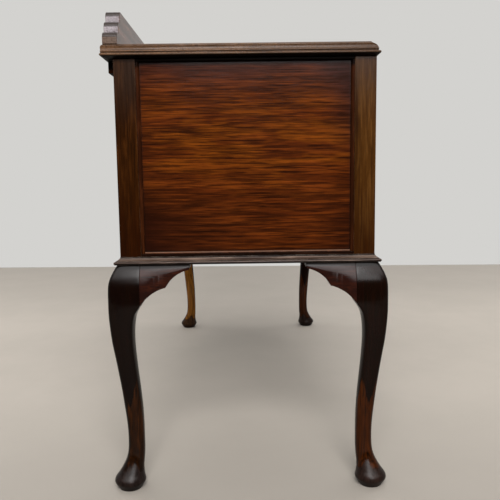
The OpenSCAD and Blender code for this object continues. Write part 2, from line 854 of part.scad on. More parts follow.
module drawer_fittings(opening, handle_xs) {
    color([0.72, 0.56, 0.26])
        at_handles(opening, handle_xs) {
            back_plate();
            for (side = [-1, 1])
                translate([side * post_gap / 2, 0, 0]) {
                    handle_post();
                    shank_nut();
                }
        }
}

// A bail that hangs from its two posts: pins, elbows, arms and a swelling grip
elbow_r = 4;
bend_r = 8;
pin_in = 4.5;
arm_gap = 1.2;
module half_bail() {
    elbow_x = post_gap / 2 + head_r + arm_gap;
    arm_x = elbow_x + elbow_r;
    translate([post_gap / 2 - pin_in, 0, 0])
        rotate([0, 90, 0]) cylinder(r = rod_r, h = elbow_x - post_gap / 2 + pin_in);
    translate([elbow_x, 0, -elbow_r])
        rotate([90, 0, 0]) rotate_extrude(angle = 90) translate([elbow_r, 0]) circle(rod_r);
    translate([arm_x, 0, -bail_drop + bend_r])
        cylinder(r = rod_r, h = bail_drop - bend_r - elbow_r);
    translate([arm_x - bend_r, 0, -bail_drop + bend_r])
        rotate([90, 90, 0]) rotate_extrude(angle = 90) translate([bend_r, 0]) circle(rod_r);
}

grip_steps = 10;
module grip() {
    half = post_gap / 2 + head_r + arm_gap + elbow_r - bend_r;
    translate([0, 0, -bail_drop])
        rotate([0, 90, 0])
            rotate_extrude()
                polygon(concat([[0, -half]],
                    [for (i = [-grip_steps:grip_steps]) let (t = i / grip_steps)
                        [rod_r + (grip_r - rod_r) * pow(cos(90 * t), 2), half * t]],
                    [[0, half]]));
}

module bail(opening, handle_x) {
    color([0.76, 0.60, 0.28])
        at_handles(opening, [handle_x])
            translate([0, -bail_reach, 0]) {
                both_ends() half_bail();
                grip();
            }
}

pair_xs = [-handle_spread / 2, handle_spread / 2];

table_top();
leather_inset();
gallery();
top_screws();
back_batten();
to_corner(-1, -1) corner_leg();  // front_left_leg
to_corner(1, -1) corner_leg();  // front_right_leg
to_corner(-1, 1) corner_leg();  // back_left_leg
to_corner(1, 1) corner_leg();  // back_right_leg
end_brackets(-1);  // left_knee_brackets
end_brackets(1);  // right_knee_brackets
to_corner(-1, -1) corner_post(false);  // front_left_post
to_corner(1, -1) corner_post(false);  // front_right_post
to_corner(-1, 1) corner_post(true);  // back_left_post
to_corner(1, 1) corner_post(true);  // back_right_post
end_panel();  // left_end_panel
mirror([1, 0, 0]) end_panel();  // right_end_panel
end_rails();  // left_end_rails
mirror([1, 0, 0]) end_rails();  // right_end_rails
panel_beads();  // left_panel_beads
mirror([1, 0, 0]) panel_beads();  // right_panel_beads
front_top_rail();
back_rails();
back_panels();
inner_stiles();
mirror([1, 0, 0]) partition();  // left_partition
partition();  // right_partition
divider_rails();
kneehole_rail();
kneehole_brackets();
bottom_front_rails();
pedestal_bottoms();
drawer_runners();
drawer_guides();
end_moulding();  // left_end_moulding
mirror([1, 0, 0]) end_moulding();  // right_end_moulding
pedestal_moulding();  // left_pedestal_moulding
mirror([1, 0, 0]) pedestal_moulding();  // right_pedestal_moulding
glue_blocks();
drawer_front(UPPER_LEFT, [0]);  // upper_left_front
drawer_box(UPPER_LEFT);  // upper_left_box
drawer_fittings(UPPER_LEFT, [0]);  // upper_left_fittings
bail(UPPER_LEFT, 0);  // upper_left_bail
drawer_front(LOWER_LEFT, [0]);  // lower_left_front
drawer_box(LOWER_LEFT);  // lower_left_box
drawer_fittings(LOWER_LEFT, [0]);  // lower_left_fittings
bail(LOWER_LEFT, 0);  // lower_left_bail
drawer_front(CENTRE, pair_xs);  // centre_front
drawer_box(CENTRE);  // centre_box
drawer_fittings(CENTRE, pair_xs);  // centre_fittings
bail(CENTRE, pair_xs[0]);  // centre_left_bail
bail(CENTRE, pair_xs[1]);  // centre_right_bail
drawer_front(UPPER_RIGHT, [0]);  // upper_right_front
drawer_box(UPPER_RIGHT);  // upper_right_box
drawer_fittings(UPPER_RIGHT, [0]);  // upper_right_fittings
bail(UPPER_RIGHT, 0);  // upper_right_bail
drawer_front(LOWER_RIGHT, [0]);  // lower_right_front
drawer_box(LOWER_RIGHT);  // lower_right_box
drawer_fittings(LOWER_RIGHT, [0]);  // lower_right_fittings
bail(LOWER_RIGHT, 0);  // lower_right_bail
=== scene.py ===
"""Looks of a pedestal writing table on cabriole legs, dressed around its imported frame."""

import logging
import math
from dataclasses import dataclass, field
from enum import Enum
from typing import Any, Callable, Dict, List, Optional, Sequence, Tuple, Union

import bmesh
import bpy
from mathutils import Matrix, Vector


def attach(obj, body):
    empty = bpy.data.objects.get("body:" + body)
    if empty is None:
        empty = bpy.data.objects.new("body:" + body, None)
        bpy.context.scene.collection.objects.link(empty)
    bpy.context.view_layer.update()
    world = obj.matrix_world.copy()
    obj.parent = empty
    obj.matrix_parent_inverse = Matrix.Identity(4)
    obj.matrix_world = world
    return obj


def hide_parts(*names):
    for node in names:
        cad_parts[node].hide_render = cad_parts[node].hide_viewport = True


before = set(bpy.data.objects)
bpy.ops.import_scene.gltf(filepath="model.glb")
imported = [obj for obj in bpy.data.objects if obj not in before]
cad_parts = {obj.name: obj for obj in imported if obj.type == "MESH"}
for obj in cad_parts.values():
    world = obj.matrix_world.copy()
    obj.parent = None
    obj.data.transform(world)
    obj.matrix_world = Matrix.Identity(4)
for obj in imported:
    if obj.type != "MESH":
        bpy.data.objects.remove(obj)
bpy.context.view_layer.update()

log = logging.getLogger("writing_table")

MM = 0.001
SAME_POINT = 1e-6
SAME_FRAME_POINT = 2e-6
SAME_LEVEL = 1e-5
SAME_SIZE = 1e-4
SQUARE_ON = 0.9
FLAT_TURN = math.radians(0.6)
QUARTER = math.pi / 2
NORMAL_WEIGHT = 80
ARRIS_AT = (0.02, 0.3)
CURVE_SLOPE, CURVE_LIMIT = 12.92, 0.04045
CURVE_SHIFT, CURVE_POWER = 0.055, 2.4

Point = Tuple[float, float]
Span = Tuple[float, float]
Triple = Tuple[float, float, float]
Colour = Tuple[float, float, float]
Piece = bpy.types.Object


def tone(red: float, green: float, blue: float) -> Colour:
    """A colour as the eye names it, 0 to 255, turned into the linear values that a shader mixes.

    Args:
        red: How red it is.
        green: How green it is.
        blue: How blue it is.

    Returns:
        The linear values.
    """
    return tuple(
        c / CURVE_SLOPE if c <= CURVE_LIMIT else ((c + CURVE_SHIFT) / (1 + CURVE_SHIFT)) ** CURVE_POWER
        for c in (red / 255, green / 255, blue / 255)
    )


def tones(*colours: Triple) -> Tuple[Colour, ...]:
    """Several tones at once."""
    return tuple(tone(*colour) for colour in colours)


# Near black, painted as shade and shadow: in recesses, under overhangs and on faces that look down.
SHADE_BLACK = tone(6, 4, 3)


def arc(centre: Point, radius: float, start: float, end: float, steps: int = 8) -> List[Point]:
    """Points on an arc.

    Args:
        centre: Middle of the arc.
        radius: Its radius.
        start: Angle of the first point, in degrees.
        end: Angle of the last point, in degrees.
        steps: Number of chords.

    Returns:
        The points in order.
    """
    turns = [math.radians(start + (end - start) * i / steps) for i in range(steps + 1)]
    return [(centre[0] + radius * math.cos(a), centre[1] + radius * math.sin(a)) for a in turns]


def bow(start: Point, end: Point, rise: float, steps: int = 8) -> List[Point]:
    """Points on a shallow bow between two points.

    Args:
        start: First point.
        end: Last point.
        rise: How far the middle moves to the left of the way.
        steps: Number of chords.

    Returns:
        The points in order.
    """
    dx, dy = end[0] - start[0], end[1] - start[1]
    long = math.hypot(dx, dy)
    points = []
    for i in range(steps + 1):
        t = i / steps
        lift = 4 * t * (1 - t) * rise / long
        points.append((start[0] + dx * t - dy * lift, start[1] + dy * t + dx * lift))
    return points


class Grain(Enum):
    """The way the grain of a board runs, as the turn that brings it onto X."""

    ALONG = (0.0, 0.0, 0.0)
    ACROSS = (0.0, 0.0, -QUARTER)
    UPRIGHT = (0.0, QUARTER, 0.0)


class Cut(Enum):
    """What is done with the second solid of a cut."""

    AWAY = "DIFFERENCE"
    SHARED = "INTERSECT"
    JOINED = "UNION"


class Bench:
    """The operators that every piece is modelled with."""

    @staticmethod
    def clear() -> None:
        """Leaves edit mode and lets go of everything."""
        if bpy.context.mode != "OBJECT":
            bpy.ops.object.mode_set(mode="OBJECT")
        bpy.ops.object.select_all(action="DESELECT")

    @staticmethod
    def take(piece: Piece) -> Piece:
        """Selects one piece alone and makes it active.

        Args:
            piece: The piece.

        Returns:
            The same piece.
        """
        Bench.clear()
        piece.select_set(True)
        bpy.context.view_layer.objects.active = piece
        return piece

    @staticmethod
    def edit(piece: Piece, kind: str = "VERT") -> None:
        """Opens a piece in edit mode with nothing selected.

        Args:
            piece: The piece.
            kind: What is selected from here on: VERT, EDGE or FACE.
        """
        if bpy.context.mode != "EDIT_MESH":
            Bench.take(piece)
            bpy.ops.object.mode_set(mode="EDIT")
        bpy.ops.mesh.select_mode(type=kind)
        bpy.ops.mesh.select_all(action="DESELECT")

    @staticmethod
    def edit_whole(piece: Piece, kind: str = "VERT") -> None:
        """Opens a piece in edit mode with all of it selected."""
        Bench.edit(piece, kind)
        bpy.ops.mesh.select_all(action="SELECT")

    @staticmethod
    def pick(piece: Piece, test: Callable[[Any], bool], kind: str = "VERT") -> None:
        """Selects, in edit mode, the points, edges or faces that pass a test.

        Args:
            piece: The piece that is open in edit mode.
            test: Says whether an element is taken.
            kind: VERT, EDGE or FACE.
        """
        Bench.edit(piece, kind)
        mesh = bmesh.from_edit_mesh(piece.data)
        elements = {"VERT": mesh.verts, "EDGE": mesh.edges, "FACE": mesh.faces}[kind]
        for element in filter(test, elements):
            element.select_set(True)
        mesh.select_flush_mode()
        bmesh.update_edit_mesh(piece.data)

    @staticmethod
    def scale(by: Sequence[float], about: Sequence[float]) -> None:
        """Scales what is selected about a point."""
        bpy.ops.transform.resize(value=tuple(by), center_override=tuple(about))

    @staticmethod
    def extrude(by: Sequence[float]) -> None:
        """Extrudes what is selected, as one region."""
        bpy.ops.mesh.extrude_region_move(TRANSFORM_OT_translate={"value": tuple(by)})

    @staticmethod
    def settle(piece: Piece, name: str) -> Piece:
        """Names a piece and puts its place, turn and size into its mesh.

        Args:
            piece: The piece.
            name: Its name.

        Returns:
            The same piece.
        """
        Bench.take(piece)
        bpy.ops.object.transform_apply(location=True, rotation=True, scale=True)
        piece.name = name
        piece.data.name = name
        return piece

    @staticmethod
    def board(name: str, low: Sequence[float], high: Sequence[float]) -> Piece:
        """A squared board between two corners, in millimetres.

        Args:
            name: Name of the board.
            low: Its low corner.
            high: Its high corner.

        Returns:
            The board.
        """
        Bench.clear()
        middle = [(a + b) / 2 * MM for a, b in zip(low, high)]
        size = [(b - a) * MM for a, b in zip(low, high)]
        bpy.ops.mesh.primitive_cube_add(size=1, location=middle, scale=size)
        return Bench.settle(bpy.context.active_object, name)

    @staticmethod
    def disc(name: str, sides: int, radius: float, thick: float, place: Sequence[float]) -> Piece:
        """A disc that faces along Y, in millimetres.

        Args:
            name: Name of the disc.
            sides: How many sides it has.
            radius: Distance of the corners from its middle.
            thick: Its thickness.
            place: Its middle.

        Returns:
            The disc.
        """
        Bench.clear()
        bpy.ops.mesh.primitive_cylinder_add(
            vertices=sides, radius=radius * MM, depth=thick * MM,
            location=[v * MM for v in place], rotation=(QUARTER, 0, 0),
        )
        return Bench.settle(bpy.context.active_object, name)

    @staticmethod
    def ring(
        name: str, sides: int, radius: float, place: Sequence[float], turn: Sequence[float],
        kind: str = "VERT",
    ) -> Piece:
        """A filled ring, left open in edit mode with all of it selected.

        Args:
            name: Name of the piece.
            sides: How many corners it has.
            radius: Distance of the corners from its middle, in millimetres.
            place: Its middle, in millimetres.
            turn: The turn from facing up.
            kind: What is selected from here on: VERT, EDGE or FACE.

        Returns:
            The ring.
        """
        Bench.clear()
        bpy.ops.mesh.primitive_circle_add(
            vertices=sides, radius=radius * MM, fill_type="NGON",
            location=[v * MM for v in place], rotation=turn,
        )
        piece = Bench.settle(bpy.context.active_object, name)
        Bench.edit_whole(piece, kind)
        return piece

    @staticmethod
    def outline(name: str, points: Sequence[Sequence[float]], close: bool = True) -> Piece:
        """A flat outline drawn point by point, in millimetres.

        Args:
            name: Name of the piece.
            points: Corners in order, in space.
            close: Whether the outline is closed and filled.

        Returns:
            The outline as a piece, which is left open in edit mode with all selected.
        """
        Bench.clear()
        places = [Vector(p) * MM for p in points]
        bpy.ops.mesh.primitive_plane_add(size=0.01, location=places[0])
        piece = Bench.settle(bpy.context.active_object, name)
        Bench.edit_whole(piece)
        bpy.ops.mesh.merge(type="CENTER")
        for here, there in zip(places, places[1:]):
            Bench.extrude(there - here)
        if close:
            Bench.extrude(places[0] - places[-1])
        bpy.ops.mesh.select_all(action="SELECT")
        bpy.ops.mesh.remove_doubles(threshold=SAME_POINT)
        if close:
            bpy.ops.mesh.edge_face_add()
        return piece

    @staticmethod
    def prism(name: str, points: Sequence[Sequence[float]], by: Sequence[float]) -> Piece:
        """A solid drawn as a flat outline and extruded, in millimetres.

        Args:
            name: Name of the solid.
            points: Corners of the outline in order, in space.
            by: Way that the outline is extruded.

        Returns:
            The solid.
        """
        piece = Bench.outline(name, points)
        Bench.extrude([v * MM for v in by])
        Bench.outward(piece)
        return piece

    @staticmethod
    def outward(piece: Piece) -> None:
        """Merges doubled points, turns all faces outwards and leaves edit mode.

        Args:
            piece: The piece.
        """
        Bench.edit_whole(piece)
        bpy.ops.mesh.remove_doubles(threshold=SAME_POINT)
        bpy.ops.mesh.normals_make_consistent(inside=False)
        Bench.clear()

    @staticmethod
    def modify(piece: Piece, kind: str, **settings: Any) -> None:
        """Adds a modifier and applies it.

        Args:
            piece: The piece.
            kind: Type of the modifier.
            settings: Its settings.
        """
        Bench.take(piece)
        made = piece.modifiers.new(kind.title(), kind)
        for name, value in settings.items():
            setattr(made, name, value)
        bpy.ops.object.modifier_apply(modifier=made.name)

    @staticmethod
    def cut(piece: Piece, tool: Piece, how: Cut) -> Piece:
        """Cuts or joins a piece with another, which is used up.

        Args:
            piece: The first solid, which stays.
            tool: The second solid.
            how: What is done with the second solid.

        Returns:
            The first solid.
        """
        Bench.modify(piece, "BOOLEAN", operation=how.value, object=tool, solver="EXACT")
        bpy.data.objects.remove(tool)
        return piece

    @staticmethod
    def ease(piece: Piece, width: float, segments: int = 2, angle: float = 30) -> Piece:
        """Rounds a piece's arrises by a width in millimetres.

        Args:
            piece: The piece.
            width: How far in the rounding starts.
            segments: How many facets it has.
            angle: Turn of the face, in degrees, from which an arris is rounded.

        Returns:
            The same piece.
        """
        Bench.modify(
            piece, "BEVEL", width=width * MM, segments=segments, limit_method="ANGLE",
            angle_limit=math.radians(angle), use_clamp_overlap=False, miter_outer="MITER_ARC",
        )
        return piece

    @staticmethod
    def smooth(piece: Piece, angle: float = 48) -> Piece:
        """Smooths the shading and lets the flats keep their own normals.

        Args:
            piece: The piece.
            angle: Turn of the face, in degrees, up to which it is smoothed.

        Returns:
            The same piece.
        """
        Bench.take(piece)
        bpy.ops.object.shade_smooth_by_angle(angle=math.radians(angle))
        Bench.modify(piece, "WEIGHTED_NORMAL", keep_sharp=True, weight=NORMAL_WEIGHT)
        return piece

    @staticmethod
    def copy(
        piece: Piece, name: str, by: Sequence[float] = (0, 0, 0), flip: Sequence[int] = (1, 1, 1),
        turn: float = 0,
    ) -> Piece:
        """A copy with its own mesh, mirrored about the middle of the frame, then turned and moved.

        Args:
            piece: The piece that is copied.
            name: Name of the copy.
            by: Way that it is moved, in millimetres.
            flip: 1 or -1 for each axis.
            turn: Turn about the upright axis, in degrees.

        Returns:
            The copy.
        """
        Bench.take(piece)
        bpy.ops.object.duplicate(linked=False)
        made = bpy.context.active_object
        made.scale = flip
        made.rotation_euler = (0, 0, math.radians(turn))
        made.location = [v * MM for v in by]
        Bench.settle(made, name)
        if flip[0] * flip[1] * flip[2] < 0:
            Bench.outward(made)
        return made

    @staticmethod
    def assign(piece: Piece, number: int) -> None:
        """Gives the faces that are selected another of the piece's materials."""
        piece.active_material_index = number
        bpy.ops.object.material_slot_assign()

    @staticmethod
    def join(pieces: Sequence[Piece], name: str) -> Piece:
        """Joins separate pieces into one object without fusing them.

        Args:
            pieces: The pieces, which are used up.
            name: Name of the object.

        Returns:
            The object.
        """
        Bench.take(pieces[0])
        for piece in pieces:
            piece.select_set(True)
        bpy.ops.object.join()
        return Bench.settle(bpy.context.active_object, name)

    @staticmethod
    def drop(*pieces: Piece) -> None:
        """Puts away patterns that have been copied."""
        for piece in pieces:
            bpy.data.objects.remove(piece)

    @staticmethod
    def from_frame(node: str, name: str) -> Piece:
        """A merged copy of a part of the frame, with its flats made whole again.

        Args:
            node: Name of the part.
            name: Name of the copy.

        Returns:
            The copy.
        """
        piece = bpy.data.objects.new(name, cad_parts[node].data.copy())
        bpy.context.scene.collection.objects.link(piece)
        piece.data.name = name
        piece.data.materials.clear()
        Bench.edit_whole(piece)
        bpy.ops.mesh.remove_doubles(threshold=SAME_FRAME_POINT)
        bpy.ops.mesh.dissolve_limited(angle_limit=FLAT_TURN)
        Bench.clear()
        return piece


class Thread:
    """A node's output that takes part in sums, each sum adding its own node."""

    def __init__(self, pot: "Pot", link: Optional[bpy.types.NodeSocket]) -> None:
        """Holds the output, which an end of the tree doesn't have, and the pot that it belongs to."""
        self.pot = pot
        self.link = link

    def sum(self, operation: str, *values: "Amount") -> "Thread":
        """One Math node."""
        return self.pot.node("ShaderNodeMath", {"operation": operation}, dict(enumerate(values)))

    def __add__(self, other: "Amount") -> "Thread":
        """Adds."""
        return self.sum("ADD", self, other)

    __radd__ = __add__

    def __mul__(self, other: "Amount") -> "Thread":
        """Multiplies."""
        return self.sum("MULTIPLY", self, other)

    def __sub__(self, other: "Amount") -> "Thread":
        """Subtracts."""
        return self.sum("SUBTRACT", self, other)

    def __rsub__(self, other: "Amount") -> "Thread":
        """Subtracts from a number."""
        return self.sum("SUBTRACT", other, self)

    def __abs__(self) -> "Thread":
        """Drops the sign."""
        return self.sum("ABSOLUTE", self)

    def side(self) -> "Thread":
        """1 or -1 with the number's sign."""
        return self.sum("SIGN", self)

    def least(self, other: "Amount") -> "Thread":
        """The smaller of two."""
        return self.sum("MINIMUM", self, other)

    def most(self, other: "Amount") -> "Thread":
        """The larger of two."""
        return self.sum("MAXIMUM", self, other)

    def within(self, low: float, high: float) -> "Thread":
        """Rises softly from 0 at low to 1 at high.

        Args:
            low: Where it starts to rise.
            high: Where it is full.

        Returns:
            The risen number.
        """
        return self.pot.node(
            "ShaderNodeMapRange", {"interpolation_type": "SMOOTHSTEP"},
            {"Value": self, "From Min": low, "From Max": high},
        )


Amount = Union[Thread, float]
Tint = Union[Thread, Colour]
MIX_COLOUR_INPUTS = (0, 6, 7)
MIX_COLOUR_OUTPUT = 2


class Pot:
    """One finish as it is mixed: a material or a world, and the nodes in it."""

    def __init__(self, owner: Union[bpy.types.Material, bpy.types.World]) -> None:
        """Empties a new material or world.

        Args:
            owner: The material or world.
        """
        owner.use_nodes = True
        self.owner = owner
        self.tree = owner.node_tree
        self.tree.nodes.clear()

    def node(
        self, kind: str, settings: Optional[Dict[str, Any]] = None,
        inputs: Optional[Dict[Any, Any]] = None, output: Union[int, str] = 0,
    ) -> Thread:
        """Adds one node.

        Args:
            kind: Type of the node.
            settings: Its settings, which are made first.
            inputs: Values or links of its sockets, by name or number.
            output: The output that is wanted.

        Returns:
            That output.
        """
        made = self.tree.nodes.new(kind)
        for name, value in (settings or {}).items():
            setattr(made, name, value)
        for key, value in (inputs or {}).items():
            socket = made.inputs[key]
            if isinstance(value, Thread):
                self.tree.links.new(value.link, socket)
            else:
                opaque = socket.type == "RGBA" and len(value) == 3
                socket.default_value = (*value, 1) if opaque else value
        return Thread(self, made.outputs[output] if made.outputs else None)

    def place(self) -> Thread:
        """The place on the piece, in metres."""
        return self.node("ShaderNodeTexCoord", output="Object")

    def turned(self, where: Thread, grain: Grain, shift: Sequence[float]) -> Thread:
        """Places with the grain along X."""
        sockets = {"Vector": where, "Location": shift, "Rotation": grain.value}
        return self.node("ShaderNodeMapping", None, sockets)

    def parts(self, where: Thread) -> List[Thread]:
        """The three numbers of a place."""
        made = self.node("ShaderNodeSeparateXYZ", None, {0: where})
        return [Thread(self, out) for out in made.link.node.outputs]

    def noise(
        self, where: Thread, stretch: Union[float, Triple], detail: float = 3,
        roughness: float = 0.6, distortion: float = 0,
    ) -> Thread:
        """Soft noise.

        Args:
            where: Places that it is laid over.
            stretch: How many spots it has to a metre, along each axis or along all three.
            detail: How many finer layers it has.
            roughness: How strong each finer layer is.
            distortion: How far it swirls.

        Returns:
            The noise, from 0 to 1 and mostly near the middle.
        """
        spots = stretch if isinstance(stretch, tuple) else (stretch,) * 3
        at = self.node("ShaderNodeVectorMath", {"operation": "MULTIPLY"}, {0: where, 1: spots})
        return self.node("ShaderNodeTexNoise", None, {
            "Vector": at, "Scale": 1, "Detail": detail, "Roughness": roughness, "Distortion": distortion,
        })

    def mix(self, share: Amount, under: Tint, over: Tint) -> Thread:
        """Lays one colour over another."""
        sockets = dict(zip(MIX_COLOUR_INPUTS, (share, under, over)))
        return self.node("ShaderNodeMix", {"data_type": "RGBA"}, sockets, MIX_COLOUR_OUTPUT)

    def edge(self, radius: float) -> Tuple[Thread, Thread]:
        """How near an arris a point is, and the normal with that arris rounded.

        Args:
            radius: Reach of the arris, in millimetres.

        Returns:
            A number that is 0 on a flat and rises at an arris, and the rounded normal.
        """
        rounded = self.node("ShaderNodeBevel", {"samples": 4}, {"Radius": radius * MM})
        straight = self.node("ShaderNodeNewGeometry", output="Normal")
        product = {"operation": "DOT_PRODUCT"}
        same = self.node("ShaderNodeVectorMath", product, {0: rounded, 1: straight}, "Value")
        return 1 - same, rounded

    def recess(self, reach: float) -> Thread:
        """How deep in a recess a point is, from 0 in the open to 1.

        Args:
            reach: How far a wall counts, in millimetres.

        Returns:
            The depth.
        """
        sockets = {"Distance": reach * MM}
        return 1 - self.node("ShaderNodeAmbientOcclusion", {"samples": 6}, sockets, "AO")

    def bump(self, strength: float, high: float, relief: Thread, normal: Optional[Thread] = None) -> Thread:
        """A normal with a fine relief.

        Args:
            strength: How strongly the relief shows.
            high: Its height, in metres.
            relief: Its shape.
            normal: The normal that it lies on, or none for the mesh's own.

        Returns:
            The normal.
        """
        sockets = {"Strength": strength, "Distance": high, "Height": relief}
        if normal is not None:
            sockets["Normal"] = normal
        return self.node("ShaderNodeBump", None, sockets)

    def facing(self) -> List[Thread]:
        """The way that a face looks, as its three parts."""
        return self.parts(self.node("ShaderNodeNewGeometry", output="Normal"))

    def surface(self, **sockets: Any) -> bpy.types.Material:
        """Closes the pot with its one shader.

        Args:
            sockets: Values or links of the shader's sockets, with _ for a space.

        Returns:
            The finished material.
        """
        names = {key.replace("_", " "): value for key, value in sockets.items()}
        shader = self.node("ShaderNodeBsdfPrincipled", None, names)
        self.node("ShaderNodeOutputMaterial", None, {"Surface": shader})
        return self.owner


@dataclass(frozen=True)
class Timber:
    """A polished wood: its colours, its figure, the shade painted near black into its recesses and
    undersides, and how far its polish is worn.

    Fields that end in _at hold the two values of a noise or a facing between which a layer sets in.
    """

    name: str
    dark: Colour
    mid: Colour
    light: Colour
    streak: Colour
    worn: Colour
    bands: float = 30
    band_length: float = 6
    body_at: Span = (0.36, 0.62)
    light_at: Span = (0.47, 0.66)
    streaks: float = 480
    streak_length: float = 9
    streak_depth: float = 0.6
    close_at: Span = (0.45, 0.58)
    wide_at: Span = (0.56, 0.7)
    hairs_at: Span = (0.46, 0.58)
    pores: Triple = (120, 2200, 2200)
    pores_at: Span = (0.6, 0.72)
    pore_depth: float = 0.35
    roughness: float = 0.18
    shine: float = 0.12
    relief: float = 0.2
    relief_high: float = 0.0004
    wear: float = 0.6
    edge_reach: float = 1.2
    rubs: float = 38
    rubs_at: Span = (0.34, 0.62)
    # Painted highlight: the worn tone laid on faces that look up.
    top_highlight: float = 0.0
    raised_at: Span = (0.2, 0.75)
    # Painted shade, near black, in recesses and on faces that look down.
    recess_shade: float = 0.8
    recess_shade_reach: float = 9
    recess_shade_at: Span = (0.12, 0.75)
    below_at: Span = (0.3, 0.8)
    below_recess_shade: float = 0.95
    smudges: float = 7

    def figure(self, pot: Pot, where: Thread) -> Thread:
        """The colour of the bare figure, before streaks and wear.

        Args:
            pot: The pot that is mixed.
            where: Places with the grain along X.

        Returns:
            The colour.
        """
        along, across = self.band_length, self.bands
        broad = pot.noise(where, (along, across, across), distortion=0.25)
        fine = pot.noise(where, (along * 3, across * 5, across * 5), distortion=0.15)
        body = pot.mix(broad.within(*self.body_at), self.dark, self.mid)
        return pot.mix((broad * 0.4 + fine * 0.6).within(*self.light_at), body, self.light)

    def tint(self, pot: Pot, place: Thread, colour: Thread) -> Thread:
        """What this finish adds for where on the piece a point is. Plain timber adds nothing."""
        return colour

    def dullness(self, pot: Pot, place: Thread) -> Amount:
        """What this kind of timber adds to its roughness: nothing, unless it says otherwise."""
        return 0.0

    def lines(self, pot: Pot, where: Thread) -> Thread:
        """The dark lines of the grain: close ones, longer and wider ones between them, and fine hairs.

        Args:
            pot: The pot that is mixed.
            where: Places with the grain along X.

        Returns:
            How dark each line is.
        """
        along, across = self.streak_length, self.streaks
        close = pot.noise(where, (along, across, across), 1, 0.5, 0.15)
        wide = pot.noise(where, (along * 0.6, across * 0.36, across * 0.36), 2, distortion=0.3)
        hairs = pot.noise(where, (along * 1.5, across * 1.7, across * 1.7), 1, 0.5)
        coarse = close.within(*self.close_at) * 0.5 + wide.within(*self.wide_at) * 0.5
        return coarse + hairs.within(*self.hairs_at) * 0.4

    @staticmethod
    def blackened(pot: Pot, place: Thread, colour: Thread, heights: Span, share: float) -> Thread:
        """Paints shade, near black, over what lies high.

        Args:
            pot: The pot that is mixed.
            place: Places on the piece.
            colour: The colour so far.
            heights: Where the painted shade sets in and where it is full, in metres.
            share: How full it gets.

        Returns:
            The colour.
        """
        _, _, z = pot.parts(place)
        return pot.mix(z.within(*heights) * share, colour, SHADE_BLACK)

    def material(self, grain: Grain, shift: Triple = (0, 0, 0)) -> bpy.types.Material:
        """Mixes the finish for one run of the grain.

        Args:
            grain: The way the grain runs.
            shift: Moves the figure, so that two boards differ.

        Returns:
            The material.
        """
        pot = Pot(bpy.data.materials.new(f"{self.name}_{grain.name.lower()}"))
        place = pot.place()
        where = pot.turned(place, grain, shift)
        pores = pot.noise(where, self.pores, 1, 0.5).within(*self.pores_at)
        lines = (self.lines(pot, where) * self.streak_depth).within(0, 1)
        colour = self.tint(pot, place, self.figure(pot, where))
        colour = pot.mix(lines, colour, self.streak)
        colour = pot.mix(pores * self.pore_depth, colour, self.streak)
        arris, rounded = pot.edge(self.edge_reach)
        rubbed = pot.noise(place, self.rubs)
        worn = arris.within(*ARRIS_AT) * rubbed.within(*self.rubs_at) * self.wear
        colour = pot.mix(worn, colour, self.worn)
        _, _, up = pot.facing()
        # Painted highlight: faces that look up get the worn tone.
        if self.top_highlight:
            raised = up.within(*self.raised_at) * (rubbed * 0.5 + 0.5) * self.top_highlight
            colour = pot.mix(raised, colour, self.worn)
        # Painted shade, near black, in recesses and on faces that look down; the same share roughens them.
        shade_share = pot.recess(self.recess_shade_reach).within(*self.recess_shade_at) * self.recess_shade
        shade_share = shade_share.most((0 - up).within(*self.below_at) * self.below_recess_shade)
        colour = pot.mix(shade_share, colour, SHADE_BLACK)
        smudge = pot.noise(place, self.smudges)
        relief = smudge * 0.2 - lines * 0.3 - pores * 0.5
        rough = self.roughness + (smudge * 0.1 - 0.05) + worn * 0.15 + shade_share * 0.3
        return pot.surface(
            Base_Color=colour, Roughness=rough + self.dullness(pot, place), Specular_IOR_Level=self.shine,
            Normal=pot.bump(self.relief, self.relief_high, relief, rounded),
        )


